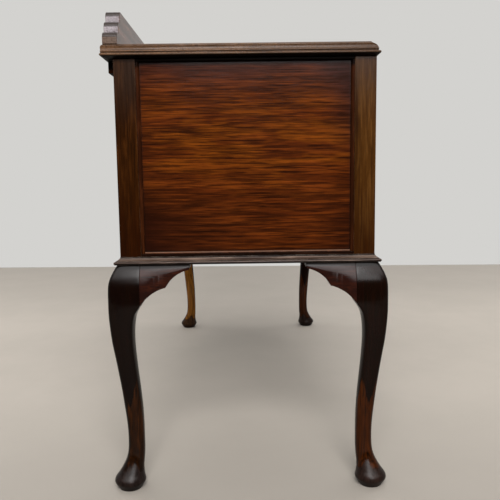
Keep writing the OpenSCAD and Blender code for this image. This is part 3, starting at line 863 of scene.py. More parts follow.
@dataclass(frozen=True)
class EndPanelTimber(Timber):
    """The end panels' wood, with painted light in its middle, darker towards its lower edge, and painted
    shade, sheen and shadow at its top.
    """

    # Painted light, orange, in the middle; painted shade with a violet sheen at the top.
    glow: Colour = tone(126, 64, 12)
    shade: Colour = tone(34, 12, 6)
    violet: Colour = tone(54, 29, 24)
    ripple: float = 0.0047
    ripple_at: Span = (0.0, 0.8)
    broken_at: Span = (0.36, 0.6)
    low_z: Span = (0.43, 0.57)
    back_y: Span = (-0.04, 0.18)
    back_edge_y: Span = (0.12, 0.2)
    front_edge_y: Span = (-0.19, -0.11)
    warm_z: float = 0.61
    warm_reach: float = 0.13
    patches_at: Span = (0.4, 0.62)
    high_z: Span = (0.66, 0.735)
    front_y: Span = (-0.2, -0.1)
    front_z: Span = (0.55, 0.68)
    # Painted shadow of the top's overhang, near black.
    black_z: Span = (0.734, 0.742)

    def lines(self, pot: Pot, where: Thread) -> Thread:
        """Thin dark lines, evenly spaced and broken, over the plain streaks.

        Args:
            pot: The pot that is mixed.
            where: Places with the grain along X.

        Returns:
            How dark each line is.
        """
        _, _, z = pot.parts(where)
        wander = pot.noise(where, (2.5, 4, 16), 2, 0.5) * 26 + pot.noise(where, (9, 10, 60), 1, 0.5) * 5
        waves = (z * (2 * math.pi / self.ripple) + wander).sum("SINE")
        broken = pot.noise(where, (16, 30, 260), 2).within(*self.broken_at)
        return waves.within(*self.ripple_at) * (broken * 0.6 + 0.3) + super().lines(pot, where) * 0.45

    def tint(self, pot: Pot, place: Thread, colour: Thread) -> Thread:
        """Paints light into the middle of the panel, darkens its lower back corner and its two edges, and
        paints shade with a violet sheen and the overhang's shadow at its top.

        Args:
            pot: The pot that is mixed.
            place: Places on the piece.
            colour: The colour so far.

        Returns:
            The colour.
        """
        _, y, z = pot.parts(place)
        cloud = pot.noise(place, (3, 4, 12))
        low = (1 - z.within(*self.low_z)) * (y.within(*self.back_y) * 0.7 + 0.3)
        side = (y.within(*self.back_edge_y) * 0.35).most((1 - y.within(*self.front_edge_y)) * 0.3)
        patches = pot.noise(place, (4, 8, 34), distortion=0.3).within(*self.patches_at)
        # Painted light in the middle of the panel.
        warm = (1 - abs(z - self.warm_z).within(0, self.warm_reach)) * (1 - side) * patches
        warmed = pot.mix(warm * 0.75, colour, self.glow)
        shaded = pot.mix(((low + side) * (cloud * 1.2 + 0.3)).within(0, 1), warmed, self.shade)
        # Painted shade with a violet sheen at the top and the upper front.
        high = z.within(*self.high_z) * 0.5 + (1 - y.within(*self.front_y)) * z.within(*self.front_z) * 0.75
        colour = pot.mix((high * (cloud * 0.6 + 0.7)).within(0, 1), shaded, self.violet)
        # Painted shadow of the top's overhang, near black.
        return self.blackened(pot, place, colour, self.black_z, 0.9)


@dataclass(frozen=True)
class EndRailTimber(Timber):
    """The wood of the end rails and beads, with painted shadow, near black, under the table top."""

    # Painted shadow under the top.
    black_z: Span = (0.73, 0.737)

    def tint(self, pot: Pot, place: Thread, colour: Thread) -> Thread:
        """Paints the shadow, near black, that falls close under the top."""
        return self.blackened(pot, place, colour, self.black_z, 0.97)


@dataclass(frozen=True)
class PostTimber(Timber):
    """The posts' wood, darker and redder towards the moulding and duller towards the top."""

    foot: Colour = tone(34, 10, 1)
    foot_z: Span = (0.42, 0.6)
    head: Colour = tone(54, 42, 35)
    head_z: Span = (0.62, 0.74)

    def tint(self, pot: Pot, place: Thread, colour: Thread) -> Thread:
        """Darkens the lower end of the post and dulls its upper end.

        Args:
            pot: The pot that is mixed.
            place: Places on the piece.
            colour: The colour so far.

        Returns:
            The colour.
        """
        _, _, z = pot.parts(place)
        colour = pot.mix(z.within(*self.head_z) * 0.45, colour, self.head)
        return pot.mix((1 - z.within(*self.foot_z)) * 0.75, colour, self.foot)


@dataclass(frozen=True)
class TopTimber(Timber):
    """The top's wood, rubbed lighter along the mouldings of its edges, with painted shade under it."""

    rubbed: Colour = tone(104, 77, 56)
    hollow: Colour = tone(62, 42, 25)
    stripes_at: Span = (0.36, 0.6)
    edge_at: Span = (0.3, 0.6)
    dim_y: Span = (-0.2, 0.1)
    # Painted shade, near black, on the underside and the lower nose.
    under_at: Span = (0.5, 0.9)
    low_z: Span = (0.7505, 0.753)

    def tint(self, pot: Pot, place: Thread, colour: Thread) -> Thread:
        """Lays long light and dark lines over the edges, and paints shade, near black, over the underside
        and the lower nose.

        Args:
            pot: The pot that is mixed.
            place: Places on the piece.
            colour: The colour so far.

        Returns:
            The colour.
        """
        _, y, z = pot.parts(place)
        ahead, aside, up = pot.facing()
        patches = pot.noise(place, (20, 16, 60)) * 0.4
        # Painted shade on faces that look down.
        under = (0 - up).within(*self.under_at) * 0.95
        for way, stretch in ((abs(aside), (5, 30, 420)), (abs(ahead), (30, 5, 420))):
            stripes = pot.noise(place, stretch, 2) * 0.6 + patches
            rubbed = pot.mix(stripes.within(*self.stripes_at), self.hollow, self.rubbed)
            rubbed = pot.mix((1 - y.within(*self.dim_y)) * 0.7, rubbed, self.hollow)
            colour = pot.mix(way.within(*self.edge_at) * 0.92, colour, rubbed)
        # Painted shade, near black, on the underside and the lower nose.
        return pot.mix(under.most((1 - z.within(*self.low_z)) * 0.8), colour, SHADE_BLACK)


@dataclass(frozen=True)
class MouldingTimber(Timber):
    """The waist moulding's wood: pale on its slope and nose, with painted shade, near black, where it meets
    the frame and below.
    """

    # Painted shade, near black, below the nose and next to the frame.
    foot_z: Span = (0.4063, 0.4073)
    head_z: Span = (0.4146, 0.4152)
    ragged: float = 0.0016

    def tint(self, pot: Pot, place: Thread, colour: Thread) -> Thread:
        """Paints shade, near black, over the underside of the nose and the strip next to the frame.

        Args:
            pot: The pot that is mixed.
            place: Places on the piece.
            colour: The colour so far.

        Returns:
            The colour.
        """
        _, _, z = pot.parts(place)
        level = z + (pot.noise(place, (25, 25, 5)) - 0.5) * self.ragged
        # Painted shade below the nose and in the crease next to the frame.
        dark = (1 - level.within(*self.foot_z)).most(level.within(*self.head_z))
        return pot.mix(dark * 0.93, colour, SHADE_BLACK)


@dataclass(frozen=True)
class GalleryTimber(Timber):
    """The gallery's wood, with painted reflections on its upright faces and painted shade on its rounds."""

    # Painted shade on the rounds that look up; painted reflections, pale and grey on the ends and rosy on
    # the front.
    round_brown: Colour = tone(24, 15, 7)
    round_at: Span = (0.03, 0.2)
    worn_grey: Colour = tone(106, 92, 82)
    pale_reflection: Colour = tone(172, 164, 168)
    pale_reflection_z: Span = (0.787, 0.793)
    end_at: Span = (0.85, 0.99)
    rosy: Colour = tone(170, 124, 110)
    front_at: Span = (0.8, 0.95)

    def tint(self, pot: Pot, place: Thread, colour: Thread) -> Thread:
        """Paints a pale reflection on the two upper steps of each end, a grey one lower on the ends and a
        rosy one in streaks on the front, and shade on what looks up.

        Args:
            pot: The pot that is mixed.
            place: Places on the piece.
            colour: The colour so far.

        Returns:
            The colour.
        """
        _, _, z = pot.parts(place)
        ahead, aside, up = pot.facing()
        cloud = pot.noise(place, (20, 60, 60), 2)
        ends, high = abs(ahead).within(*self.end_at), z.within(*self.pale_reflection_z)
        # Painted grey reflection on the ends below the two upper steps.
        colour = pot.mix(ends * (1 - high) * 0.85, colour, self.worn_grey)
        # Painted pale reflection on the two upper steps, and rosy reflection in streaks on the front.
        pale = ends * high * (cloud.within(0.3, 0.6) * 0.3 + 0.7)
        streaks = pot.noise(place, (2.5, 120, 120)).within(0.4, 0.62) * (0 - aside).within(*self.front_at)
        colour = pot.mix(streaks * 0.4, pot.mix(pale * 0.94, colour, self.pale_reflection), self.rosy)
        # Painted shade on the rounds that look up.
        return pot.mix(up.within(*self.round_at) * 0.95, colour, self.round_brown)


@dataclass(frozen=True)
class BracketTimber(Timber):
    """The brackets' wood, with the waist moulding's shadow painted near black at the top."""

    # Painted shadow of the waist moulding, near black.
    shadow_z: Span = (0.3965, 0.3985)

    def tint(self, pot: Pot, place: Thread, colour: Thread) -> Thread:
        """Paints the waist moulding's shadow, near black, over the upper edge."""
        return self.blackened(pot, place, colour, self.shadow_z, 0.93)


@dataclass(frozen=True)
class LegTimber(BracketTimber):
    """The legs' wood: near-black polish on the foot, and on the knee down to a point above the shin, where
    the near black is also a painted dark reflection; and painted light on the back legs' inner faces.
    """

    # On the knee this polish is laid near black as a painted dark reflection.
    polish: Colour = tone(9, 3, 2)
    foot: Colour = tone(30, 23, 21)
    # Painted light on the back legs' inner faces.
    inner_light: Colour = tone(196, 128, 50)
    russet: Colour = tone(104, 46, 4)
    rough_edge: Triple = (60, 60, 25)
    middle_y: Span = (-0.05, 0.05)
    inner_at: Span = (0.1, 0.8)
    tip_x: float = 0.5815
    tip_y: float = 0.211
    tip_z: float = 0.146
    tip_slope: float = 3.8
    tip_soft: Span = (-0.003, 0.006)
    foot_z: Span = (0.044, 0.05)
    tongue_y: float = 0.206
    tongue_wide: float = 0.012
    tongue_long: float = 0.014
    knee_z: Span = (0.34, 0.38)

    def on_foot(self, pot: Pot, place: Thread) -> Thread:
        """How far a point lies in the dark polish of the foot, with its tongue up the instep.

        Args:
            pot: The pot that is mixed.
            place: Places on the piece.

        Returns:
            1 in the polish and 0 out of it.
        """
        _, y, z = pot.parts(place)
        ragged = (pot.noise(place, self.rough_edge) - 0.5) * 0.008
        tongue = abs(abs(y) - self.tongue_y).within(0, self.tongue_wide) * self.tongue_long
        return 1 - (z + tongue + ragged).within(*self.foot_z)

    def dullness(self, pot: Pot, place: Thread) -> Thread:
        """The foot is scuffed dull, the top of the knee a little, and the shin is bright."""
        _, _, z = pot.parts(place)
        return self.on_foot(pot, place) * 0.2 + z.within(*self.knee_z) * 0.12 - 0.04

    def tint(self, pot: Pot, place: Thread, colour: Thread) -> Thread:
        """Lays the dark polish over the outer faces and the foot, near black on the knee as a painted dark
        reflection, and paints light on the back legs' inner faces.

        Args:
            pot: The pot that is mixed.
            place: Places on the piece.
            colour: The colour so far.

        Returns:
            The colour.
        """
        x, y, z = pot.parts(place)
        ahead, _, _ = pot.facing()
        back = y.within(*self.middle_y)
        inner = (0 - ahead * x.side()).within(*self.inner_at) * back
        colour = pot.mix((1 - back) * 0.2, colour, self.russet)
        # Painted light on the back legs' inner faces.
        colour = pot.mix(inner * 0.45, colour, self.inner_light)
        # Near-black polish above a point over the shin, laid as a painted dark reflection and kept off the
        # lit inner faces.
        off_tip = abs(abs(y) - self.tip_y).least(abs(abs(x) - self.tip_x))
        ragged = (pot.noise(place, self.rough_edge) - 0.5) * 0.03
        above = z - self.tip_z - off_tip * self.tip_slope + ragged
        dark = above.within(*self.tip_soft) * (1 - inner * 0.85)
        colour = pot.mix(dark * 0.92, colour, self.polish)
        colour = pot.mix(self.on_foot(pot, place) * 0.85, colour, self.foot)
        # The waist moulding's shadow, painted near black at the top.
        return super().tint(pot, place, colour)


@dataclass(frozen=True)
class Brass:
    """Old lacquered brass, dulled in the hollows and bright where hands rub it."""

    name: str = "old_brass"
    bright: Colour = tone(196, 156, 84)
    dull: Colour = tone(92, 66, 34)
    edge_reach: float = 0.8
    clouds: float = 90
    clouds_at: Span = (0.35, 0.7)
    specks: float = 900
    specks_at: Span = (0.6, 0.75)

    def material(self) -> bpy.types.Material:
        """Mixes the finish.

        Returns:
            The material.
        """
        pot = Pot(bpy.data.materials.new(self.name))
        place = pot.place()
        arris, rounded = pot.edge(self.edge_reach)
        cloud = pot.noise(place, self.clouds, 4)
        specks = pot.noise(place, self.specks, 2)
        dulled = cloud.within(*self.clouds_at) * 0.65 + specks.within(*self.specks_at) * 0.35
        tarnish = (dulled - arris.within(*ARRIS_AT) * 0.5).within(0, 1)
        return pot.surface(
            Base_Color=pot.mix(tarnish, self.bright, self.dull), Metallic=1.0,
            Roughness=0.26 + tarnish * 0.3, Normal=pot.bump(0.15, 0.0003, cloud, rounded),
        )


@dataclass(frozen=True)
class Steel:
    """Plain steel of old screws, with brown spots."""

    name: str = "screw_steel"
    bright: Colour = tone(150, 146, 140)
    rust: Colour = tone(84, 52, 34)
    clouds: float = 400
    spots_at: Span = (0.5, 0.66)

    def material(self) -> bpy.types.Material:
        """Mixes the finish.

        Returns:
            The material.
        """
        pot = Pot(bpy.data.materials.new(self.name))
        spots = pot.noise(pot.place(), self.clouds).within(*self.spots_at)
        return pot.surface(
            Base_Color=pot.mix(spots, self.bright, self.rust), Metallic=1 - spots * 0.7,
            Roughness=0.38 + spots * 0.35,
        )


@dataclass(frozen=True)
class Hide:
    """Dark green writing leather with fine pebbles and rubbed patches."""

    name: str = "green_leather"
    deep: Colour = tone(30, 42, 30)
    rubbed: Colour = tone(62, 76, 52)
    gilt: Colour = tone(170, 132, 62)
    pebbles: float = 620
    pebbles_at: Span = (0, 0.35)
    clouds: float = 9
    clouds_at: Span = (0.45, 0.7)
    flakes: float = 260
    flakes_at: Span = (0.52, 0.6)

    def material(self, gilt: bool = False) -> bpy.types.Material:
        """Mixes the leather, or the gilt of its tooled line.

        Args:
            gilt: Whether the gold leaf is wanted.

        Returns:
            The material.
        """
        pot = Pot(bpy.data.materials.new("gilt_line" if gilt else self.name))
        place = pot.place()
        cells = {"Vector": place, "Scale": self.pebbles}
        pebbles = pot.node("ShaderNodeTexVoronoi", {"feature": "DISTANCE_TO_EDGE"}, cells, "Distance")
        cloud = pot.noise(place, self.clouds, 4)
        normal = pot.bump(0.35, 0.0004, pebbles.within(*self.pebbles_at) + cloud * 0.4)
        if gilt:
            flaked = pot.noise(place, self.flakes).within(*self.flakes_at)
            return pot.surface(
                Base_Color=pot.mix(flaked, self.gilt, self.deep), Metallic=1 - flaked,
                Roughness=0.34 + flaked * 0.2, Normal=normal,
            )
        worn = cloud.within(*self.clouds_at)
        return pot.surface(
            Base_Color=pot.mix(worn * 0.6, self.deep, self.rubbed), Roughness=0.52 - worn * 0.12,
            Specular_IOR_Level=0.4, Normal=normal,
        )


class Finishes:
    """Every finish of the table, each mixed once for each run of the grain.

    The five tones of a timber are its dark, its middle, its light, its streaks and its worn arrises.
    """

    top = TopTimber(
        "top_mahogany", *tones((60, 34, 18), (92, 58, 32), (120, 82, 48), (38, 20, 11), (150, 116, 88)),
        roughness=0.14, shine=0.09, relief=0.1, recess_shade_reach=5,
    )
    gallery = GalleryTimber(
        "gallery_mahogany", *tones((62, 34, 22), (84, 50, 34), (108, 70, 50), (42, 22, 15), (150, 116, 92)),
        roughness=0.2, shine=0.14, wear=0.3, relief=0.05,
    )
    panel = EndPanelTimber(
        "panel_mahogany", *tones((79, 33, 8), (94, 41, 10), (115, 54, 15), (30, 10, 3), (120, 70, 44)),
        bands=60, band_length=5, streaks=400, streak_length=14, streak_depth=0.85,
        roughness=0.15, shine=0.1, relief=0.05,
    )
    back = Timber(
        "back_mahogany", *tones((56, 25, 12), (80, 38, 16), (104, 54, 24), (34, 15, 9), (122, 80, 54)),
        roughness=0.3,
    )
    rails = Timber(
        "frame_mahogany", *tones((32, 13, 2), (46, 21, 3), (64, 33, 8), (22, 9, 2), (126, 92, 66)),
        bands=40,
    )
    posts = PostTimber(
        "post_mahogany", *tones((32, 13, 2), (46, 21, 3), (64, 33, 8), (22, 9, 2), (120, 92, 68)),
        bands=40, roughness=0.16, shine=0.1, wear=0.9, edge_reach=1.5, relief=0.06,
    )
    front_posts = PostTimber(
        "front_post_mahogany", *tones((48, 26, 5), (70, 41, 12), (90, 58, 24), (34, 16, 4), (150, 116, 78)),
        bands=40, roughness=0.16, shine=0.1, wear=0.9, edge_reach=1.5, relief=0.06,
    )
    end_rails = EndRailTimber(
        "end_rail_mahogany", *tones((18, 8, 4), (28, 13, 7), (42, 24, 15), (12, 6, 4), (90, 60, 44)),
        bands=40, shine=0.01, wear=0.3,
    )
    # The beads' worn tone is also laid as a painted highlight on their upper faces.
    beads = EndRailTimber(
        "bead_polish", *tones((42, 18, 7), (60, 28, 11), (80, 40, 18), (24, 10, 4), (130, 100, 82)),
        shine=0.02, wear=0.3, top_highlight=0.75, recess_shade=0.3, recess_shade_reach=4,
    )
    moulding = MouldingTimber(
        "moulding_mahogany",
        *tones((48, 33, 25), (74, 57, 47), (110, 91, 79), (24, 14, 10), (170, 150, 134)),
        bands=40, roughness=0.24, wear=0.8, edge_reach=1, recess_shade=0.95, recess_shade_reach=3, relief=0.1,
    )
    legs = LegTimber(
        "leg_mahogany", *tones((20, 8, 2), (34, 14, 2), (54, 25, 4), (12, 5, 2), (80, 52, 38)),
        bands=40, streaks=300, streak_depth=0.75, roughness=0.14, shine=0.09,
        wear=0.3, recess_shade=0.5, relief=0.08,
    )
    brackets = BracketTimber(
        "bracket_mahogany", *tones((30, 10, 6), (42, 16, 9), (58, 25, 13), (18, 8, 5), (12, 6, 4)),
        roughness=0.28, shine=0.09, wear=0.9, edge_reach=1.5, recess_shade=0.7, relief=0.08,
    )
    drawers = Timber(
        "drawer_mahogany", *tones((72, 30, 10), (98, 44, 14), (126, 62, 22), (42, 17, 8), (138, 90, 60)),
        bands=18, band_length=5, streak_depth=0.55, roughness=0.2, shine=0.2,
    )
    lining = Timber(
        "lining_oak", *tones((122, 90, 58), (146, 112, 74), (170, 136, 94), (98, 68, 42), (176, 146, 108)),
        streak_depth=0.45, roughness=0.62, shine=0.3, wear=0.4, recess_shade=0.45,
    )
    brass = Brass()
    steel = Steel()
    hide = Hide()


BOARD_SHIFT = (0.37, 0.53, 0.29)
mixed: Dict[Tuple[str, str, int], bpy.types.Material] = {}


def finish_of(timber: Timber, grain: Grain, board: int = 0) -> bpy.types.Material:
    """The material of a timber, mixed when it is first asked for.

    Args:
        timber: The finish.
        grain: The way the grain runs.
        board: Number of the board that the piece is cut from.

    Returns:
        The material.
    """
    key = (timber.name, grain.name, board)
    if key not in mixed:
        mixed[key] = timber.material(grain, tuple(board * step for step in BOARD_SHIFT))
    return mixed[key]


def paint(piece: Piece, *materials: bpy.types.Material) -> Piece:
    """Gives a piece its materials, the first of which covers it.

    Args:
        piece: The piece.
        materials: The materials.

    Returns:
        The same piece.
    """
    piece.data.materials.clear()
    for material in materials:
        piece.data.materials.append(material)
    return piece


def hand_over(piece: Piece, body: str, slot: str, *nodes: str) -> Piece:
    """Sets a finished piece on its body in place of parts of the frame.

    Args:
        piece: The piece.
        body: The body that carries it.
        slot: Not used.
        nodes: Parts of the frame that it stands for.

    Returns:
        The piece.
    """
    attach(piece, body)
    if nodes:
        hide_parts(*nodes)
    log.info("%s on %s: %d faces", piece.name, body, len(piece.data.polygons))
    return piece


@dataclass
class TableTop:
    """The top with its moulded edge, its leather and the gallery."""

    half_length: float = 601
    front: float = -223.5
    back: float = 238.5
    under: float = 748
    thick: float = 22
    edge: float = 15.5
    back_edge: float = 5
    leather_half: float = 543
    leather_front: float = -165.5
    leather_back: float = 187.5
    leather_thick: float = 1.2
    line_in: float = 14
    line_wide: float = 1.6
    line_deep: float = 0.3
    line_search: float = 1.2
    rim_wide: float = 0.6
    field_area: float = 0.2
    line_area: float = 0.02
    gallery_front: float = 209.5
    gallery_back: float = 233.5
    gallery_half: float = 596
    lobe_high: float = 20
    lobe_step: float = 16
    lobe_round: float = 10

    def edge_points(self) -> List[Point]:
        """The moulded edge, as reach from the nose and height above the underside.

        Returns:
            The points, from the underside up.
        """
        return [
            (-6.2, 0), *arc((-2.4, 4.2), 2.4, -62, 80, 12), (-3.3, 7.2), (-3.8, 7.6), (-3.8, 8.2),
            *arc((-12.4, 9.4), 9, 0, 76, 16), (0.7 - self.edge, self.thick - 1.6),
            (-self.edge, self.thick - 1.2), (-self.edge, self.thick),
        ]

    def back_points(self) -> List[Point]:
        """The narrower edge at the back.

        Returns:
            The points, from the underside up.
        """
        return [
            (-6.2, 0), *arc((-2.4, 4.8), 2.4, -62, 60, 10), (-1.5, 7.8), (-1.5, 8.4),
            *arc((-6.2, 16), 5.2, -14, 76, 12), (-self.back_edge, self.thick),
        ]

    def end_points(self) -> List[Point]:
        """The steeper edge of the ends, whose flat carries the gallery.

        Returns:
            The points, from the underside up.
        """
        return [
            (-6.2, 0), *arc((-2.2, 4.6), 2.2, -62, 80, 12), (-3, 7.2), (-3.4, 7.6), (-3.4, 8.4),
            *arc((-3.9, 10), 1.7, -60, 70, 10), *bow((-3.9, 12.2), (-4.6, 18.6), 0.5, 6),
            *arc((-7.8, 18.8), 3.2, 0, 84, 8), (-8, self.thick),
        ]

    def leather_board(self, name: str, above: float = 0) -> Piece:
        """A board as large as the leather, which may reach up out of its bed.

        Args:
            name: Name of the board.
            above: How far it stands above the top.

        Returns:
            The board.
        """
        top = self.under + self.thick
        return Bench.board(
            name, (-self.leather_half, self.leather_front, top - self.leather_thick),
            (self.leather_half, self.leather_back, top + above),
        )

    def build_top(self) -> Piece:
        """Two moulded lengths that share one solid, with the bed of the leather cut out.

        Returns:
            The top.
        """
        sides = [(self.half_length + r, self.under + h) for r, h in self.end_points()]
        across = sides + [(-x, z) for x, z in reversed(sides)]
        low, high = self.front - 2, self.back + 2
        top = Bench.prism("moulded_top", [(x, low, z) for x, z in across], (0, high - low, 0))
        rear = [(self.back + r, self.under + h) for r, h in self.back_points()]
        fore = [(self.front - r, self.under + h) for r, h in reversed(self.edge_points())]
        end = self.half_length + 2
        tool = Bench.prism("top_profile", [(-end, y, z) for y, z in rear + fore], (2 * end, 0, 0))
        Bench.cut(top, tool, Cut.SHARED)
        return Bench.cut(top, self.leather_board("leather_bed", 5), Cut.AWAY)

    def build_leather(self) -> Piece:
        """The skin with a tooled line pressed round it.

        Returns:
            The skin.
        """
        skin = self.leather_board("leather_skin")
        Bench.pick(skin, lambda f: f.normal.z > SQUARE_ON, "FACE")
        bpy.ops.mesh.inset(thickness=self.line_in * MM, depth=0)
        bpy.ops.mesh.inset(thickness=self.line_wide * MM, depth=-self.line_deep * MM)
        paint(skin, Finishes.hide.material(), Finishes.hide.material(gilt=True))
        Bench.pick(skin, self.on_line, "FACE")
        Bench.assign(skin, 1)
        Bench.pick(skin, lambda f: f.normal.z > SQUARE_ON and f.calc_area() > self.field_area, "FACE")
        bpy.ops.mesh.inset(thickness=self.rim_wide * MM, depth=self.line_deep * MM)
        Bench.clear()
        return skin

    def on_line(self, face: Any) -> bool:
        """Whether a face lies in the tooled line.

        Args:
            face: The face.

        Returns:
            True in the line.
        """
        if face.normal.z < SQUARE_ON or face.calc_area() > self.line_area:
            return False
        inward = self.line_in + self.line_wide / 2
        middle_y = (self.leather_front + self.leather_back) / 2
        x, y = (abs(v) / MM for v in (face.calc_center_median() - Vector((0, middle_y * MM, 0))).xy)
        off_x = abs(x - (self.leather_half - inward))
        off_y = abs(y - (self.leather_back - middle_y - inward))
        return min(off_x, off_y) < self.line_search

    def build_gallery(self) -> Piece:
        """The stepped gallery, drawn from the front and cut from one board.

        Returns:
            The gallery.
        """
        right: List[Point] = [(self.gallery_half, 0)]
        for step in range(3):
            at = self.gallery_half - step * self.lobe_step
            high = (step + 1) * self.lobe_high
            right += [(at, high - self.lobe_high)] if step else []
            right += arc((at - self.lobe_round, high - self.lobe_round), self.lobe_round, 0, 90, 10)
        level = self.under + self.thick
        outline = right + [(-x, z) for x, z in reversed(right)]
        points = [(x, self.gallery_front, level + z) for x, z in outline]
        return Bench.prism("stepped_gallery", points, (0, self.gallery_back - self.gallery_front, 0))

    def build(self) -> None:
        """Models and dresses the top's pieces."""
        top = paint(self.build_top(), finish_of(Finishes.top, Grain.ALONG))
        Bench.smooth(Bench.ease(top, 0.35), 30)
        hand_over(top, "carcase", "mahogany_top", "table_top")
        leather = Bench.smooth(Bench.ease(self.build_leather(), 0.25, 2, 60), 40)
        hand_over(leather, "carcase", "leather", "leather_inset")
        gallery = paint(self.build_gallery(), finish_of(Finishes.gallery, Grain.ALONG))
        Bench.smooth(Bench.ease(gallery, 0.9, 3, 40), 40)
        hand_over(gallery, "carcase", "mahogany_top", "gallery")


@dataclass
class CabrioleLeg:
    """A cabriole leg on a pad foot, modelled ring by ring from the floor up."""

    height: float = 404
    corner_x: float = 589
    corner_y: float = 218.5
    knee_out: float = 22.6
    top_out: float = 6
    face: float = 34
    ear_drop: float = 69
    ankle_in: float = 28.9
    foot_r: float = 27.5
    foot_h: float = 14
    disc_r: float = 19.3
    foot_in: float = 2.8
    tenon_r: float = 11
    tenon_l: float = 32
    tenon_at: float = 18
    sides: int = 12
    squarest: float = 0.06
    drawn_in: float = 0.15
    drawn_share: float = 0.011
    stations: List[Tuple[float, ...]] = field(default_factory=list)

    def __post_init__(self) -> None:
        """Sets the stations: height, reach out, reach in, roundness of the outer and the other corners."""
        h, f, i, k = self.height, self.foot_h, self.ankle_in, self.knee_out
        disc, pad, side = self.disc_r, self.foot_r, self.foot_in
        self.stations = [
            (0, disc - side, disc + side, 1, 1), (f * 0.36, disc + 3.3 - side, disc + 3.3 + side, 1, 1),
            (f, pad - side, pad + side, 1, 1), (f + 7, pad - 4.6, pad + 1.2, 1, 1),
            (f + 14, pad - 10.3, pad, 1, 1), (f + 23, 11.5, i - 2.2, 0.95, 1),
            (f + 36, 4.6, i - 1.2, 0.88, 1), (f + 50, 1.1, i - 0.3, 0.82, 0.95),
            (h * 0.22, -0.1, i - 0.2, 0.78, 0.9), (h * 0.29, 0.9, i - 0.3, 0.74, 0.85),
            (h * 0.36, 3.4, i - 1.1, 0.7, 0.8), (h * 0.45, 7, i - 3.6, 0.66, 0.75),
            (h * 0.56, 12.4, i - 7.2, 0.62, 0.7), (h - 134, k - 4.2, 19.4, 0.58, 0.62),
            (h - 104, k - 1.6, 20.5, 0.52, 0.5), (h - 84, k - 0.4, 24.4, 0.48, 0.3),
            (h - self.ear_drop, k, self.face, 0.45, 0.06), (h - 54, k - 0.1, self.face, 0.44, 0.06),
            (h - 39, k - 0.7, self.face, 0.44, 0.06), (h - 30, k - 1.9, self.face, 0.43, 0.06),
            (h - 20, k - 5.3, self.face, 0.42, 0.06), (h - 10, self.top_out + 6.3, self.face, 0.41, 0.06),
            (h - 4, self.top_out + 3, self.face, 0.4, 0.06), (h, self.top_out, self.face, 0.4, 0.06),
        ]

    def along(self, column: int, z: float) -> float:
        """A column of the stations at a height, carried smoothly from one station to the next.

        Args:
            column: Number of the column.
            z: The height.

        Returns:
            Its value there.
        """
        rows = self.stations
        i = max(n for n in range(len(rows) - 1) if rows[n][0] <= z)
        step = rows[i + 1][0] - rows[i][0]
        t = (z - rows[i][0]) / step

        def slope(n: int) -> float:
            """Slope of the column at a station."""
            a, b = max(n - 1, 0), min(n + 1, len(rows) - 1)
            return (rows[b][column] - rows[a][column]) / (rows[b][0] - rows[a][0])

        start, end = rows[i][column], rows[i + 1][column]
        return (
            start * (1 + 2 * t) * (1 - t) ** 2 + slope(i) * step * t * (1 - t) ** 2
            + end * t * t * (3 - 2 * t) - slope(i + 1) * step * t * t * (1 - t)
        )

    def reach_out(self, z: float) -> float:
        """Reach of the leg past the corner of the carcase."""
        return self.along(1, z)

    def section(self, z: float) -> Tuple[float, float, float, float]:
        """Half width, middle, and the radius of the outer and of the other corners at a height.

        The width is a little over, by as much as the smoothing draws a ring in.

        Args:
            z: The height.

        Returns:
            The four lengths.
        """
        out = self.reach_out(z)
        within = self.face if z >= self.height - self.ear_drop else min(self.along(2, z), self.face)
        half = (within + out) / 2
        outer, other = (half * min(max(self.along(column, z), self.squarest), 1) for column in (3, 4))
        drawn = self.drawn_share * (outer + other) / 2 + self.drawn_in
        return half + drawn, (within - out) / 2, outer, other

    def heights(self) -> List[float]:
        """Levels of the rings, close together at the foot and the knee.

        Returns:
            The levels, from the floor up.
        """
        foot = [0, 0.5, 1.6, 3, 4.6, 5.4, 7, 9, 11, 12.6, 14, 15.4, 17, 19.4, 22.4, 25.6]
        above = self.foot_h + 14
        knee = self.height - self.ear_drop
        shin = [above + (knee - 3 - above) * i / 30 for i in range(31)]
        top = [knee, knee + 3] + [knee + (self.height - knee) * i / 12 for i in range(1, 13)]
        return foot + shin + top

    def build_leg(self) -> Piece:
        """Extrudes a ring of points from level to level and scales its corners at each.

        Returns:
            The leg, with the corner of the carcase over the origin.
        """
        levels = self.heights()
        half, middle, _, _ = self.section(levels[0])
        turn = math.pi / self.sides
        leg = Bench.ring("leg", self.sides, half * (1 / math.cos(turn)), (middle, middle, 0), (0, 0, turn))
        was = (half, middle, half, half)
        for below, z in zip([levels[0]] + levels, levels):
            half, middle, outer, other = self.section(z)
            if z > levels[0]:
                Bench.pick(leg, lambda v: abs(v.co.z - below * MM) < SAME_LEVEL)
                step = (middle - was[1]) * MM
                Bench.extrude((step, step, (z - below) * MM))
                grow = half / was[0]
                Bench.scale((grow, grow, 1), (middle * MM, middle * MM, z * MM))
                was = (half, middle, was[2] * grow, was[3] * grow)
            for sx, sy in ((-1, -1), (-1, 1), (1, -1), (1, 1)):
                want, have = (outer, was[2]) if (sx, sy) == (-1, -1) else (other, was[3])
                if abs(want / have - 1) > SAME_SIZE:
                    at = ((middle + sx * half) * MM, (middle + sy * half) * MM, z * MM)
                    Bench.pick(leg, lambda v: self.in_corner(v, z, middle, sx, sy))
                    Bench.scale((want / have, want / have, 1), at)
            was = (half, middle, outer, other)
        self.add_tenon(leg)
        return leg

    @staticmethod
    def in_corner(vertex: Any, z: float, middle: float, side_x: int, side_y: int) -> bool:
        """Whether a point belongs to one corner of the ring at a height.

        Args:
            vertex: The point.
            z: The height.
            middle: Middle of the ring.
            side_x: 1 or -1 for the corner along X.
            side_y: 1 or -1 for the corner along Y.

        Returns:
            True in that corner.
        """
        at = vertex.co
        if abs(at.z - z * MM) > SAME_LEVEL:
            return False
        return (at.x - middle * MM) * side_x > 0 and (at.y - middle * MM) * side_y > 0

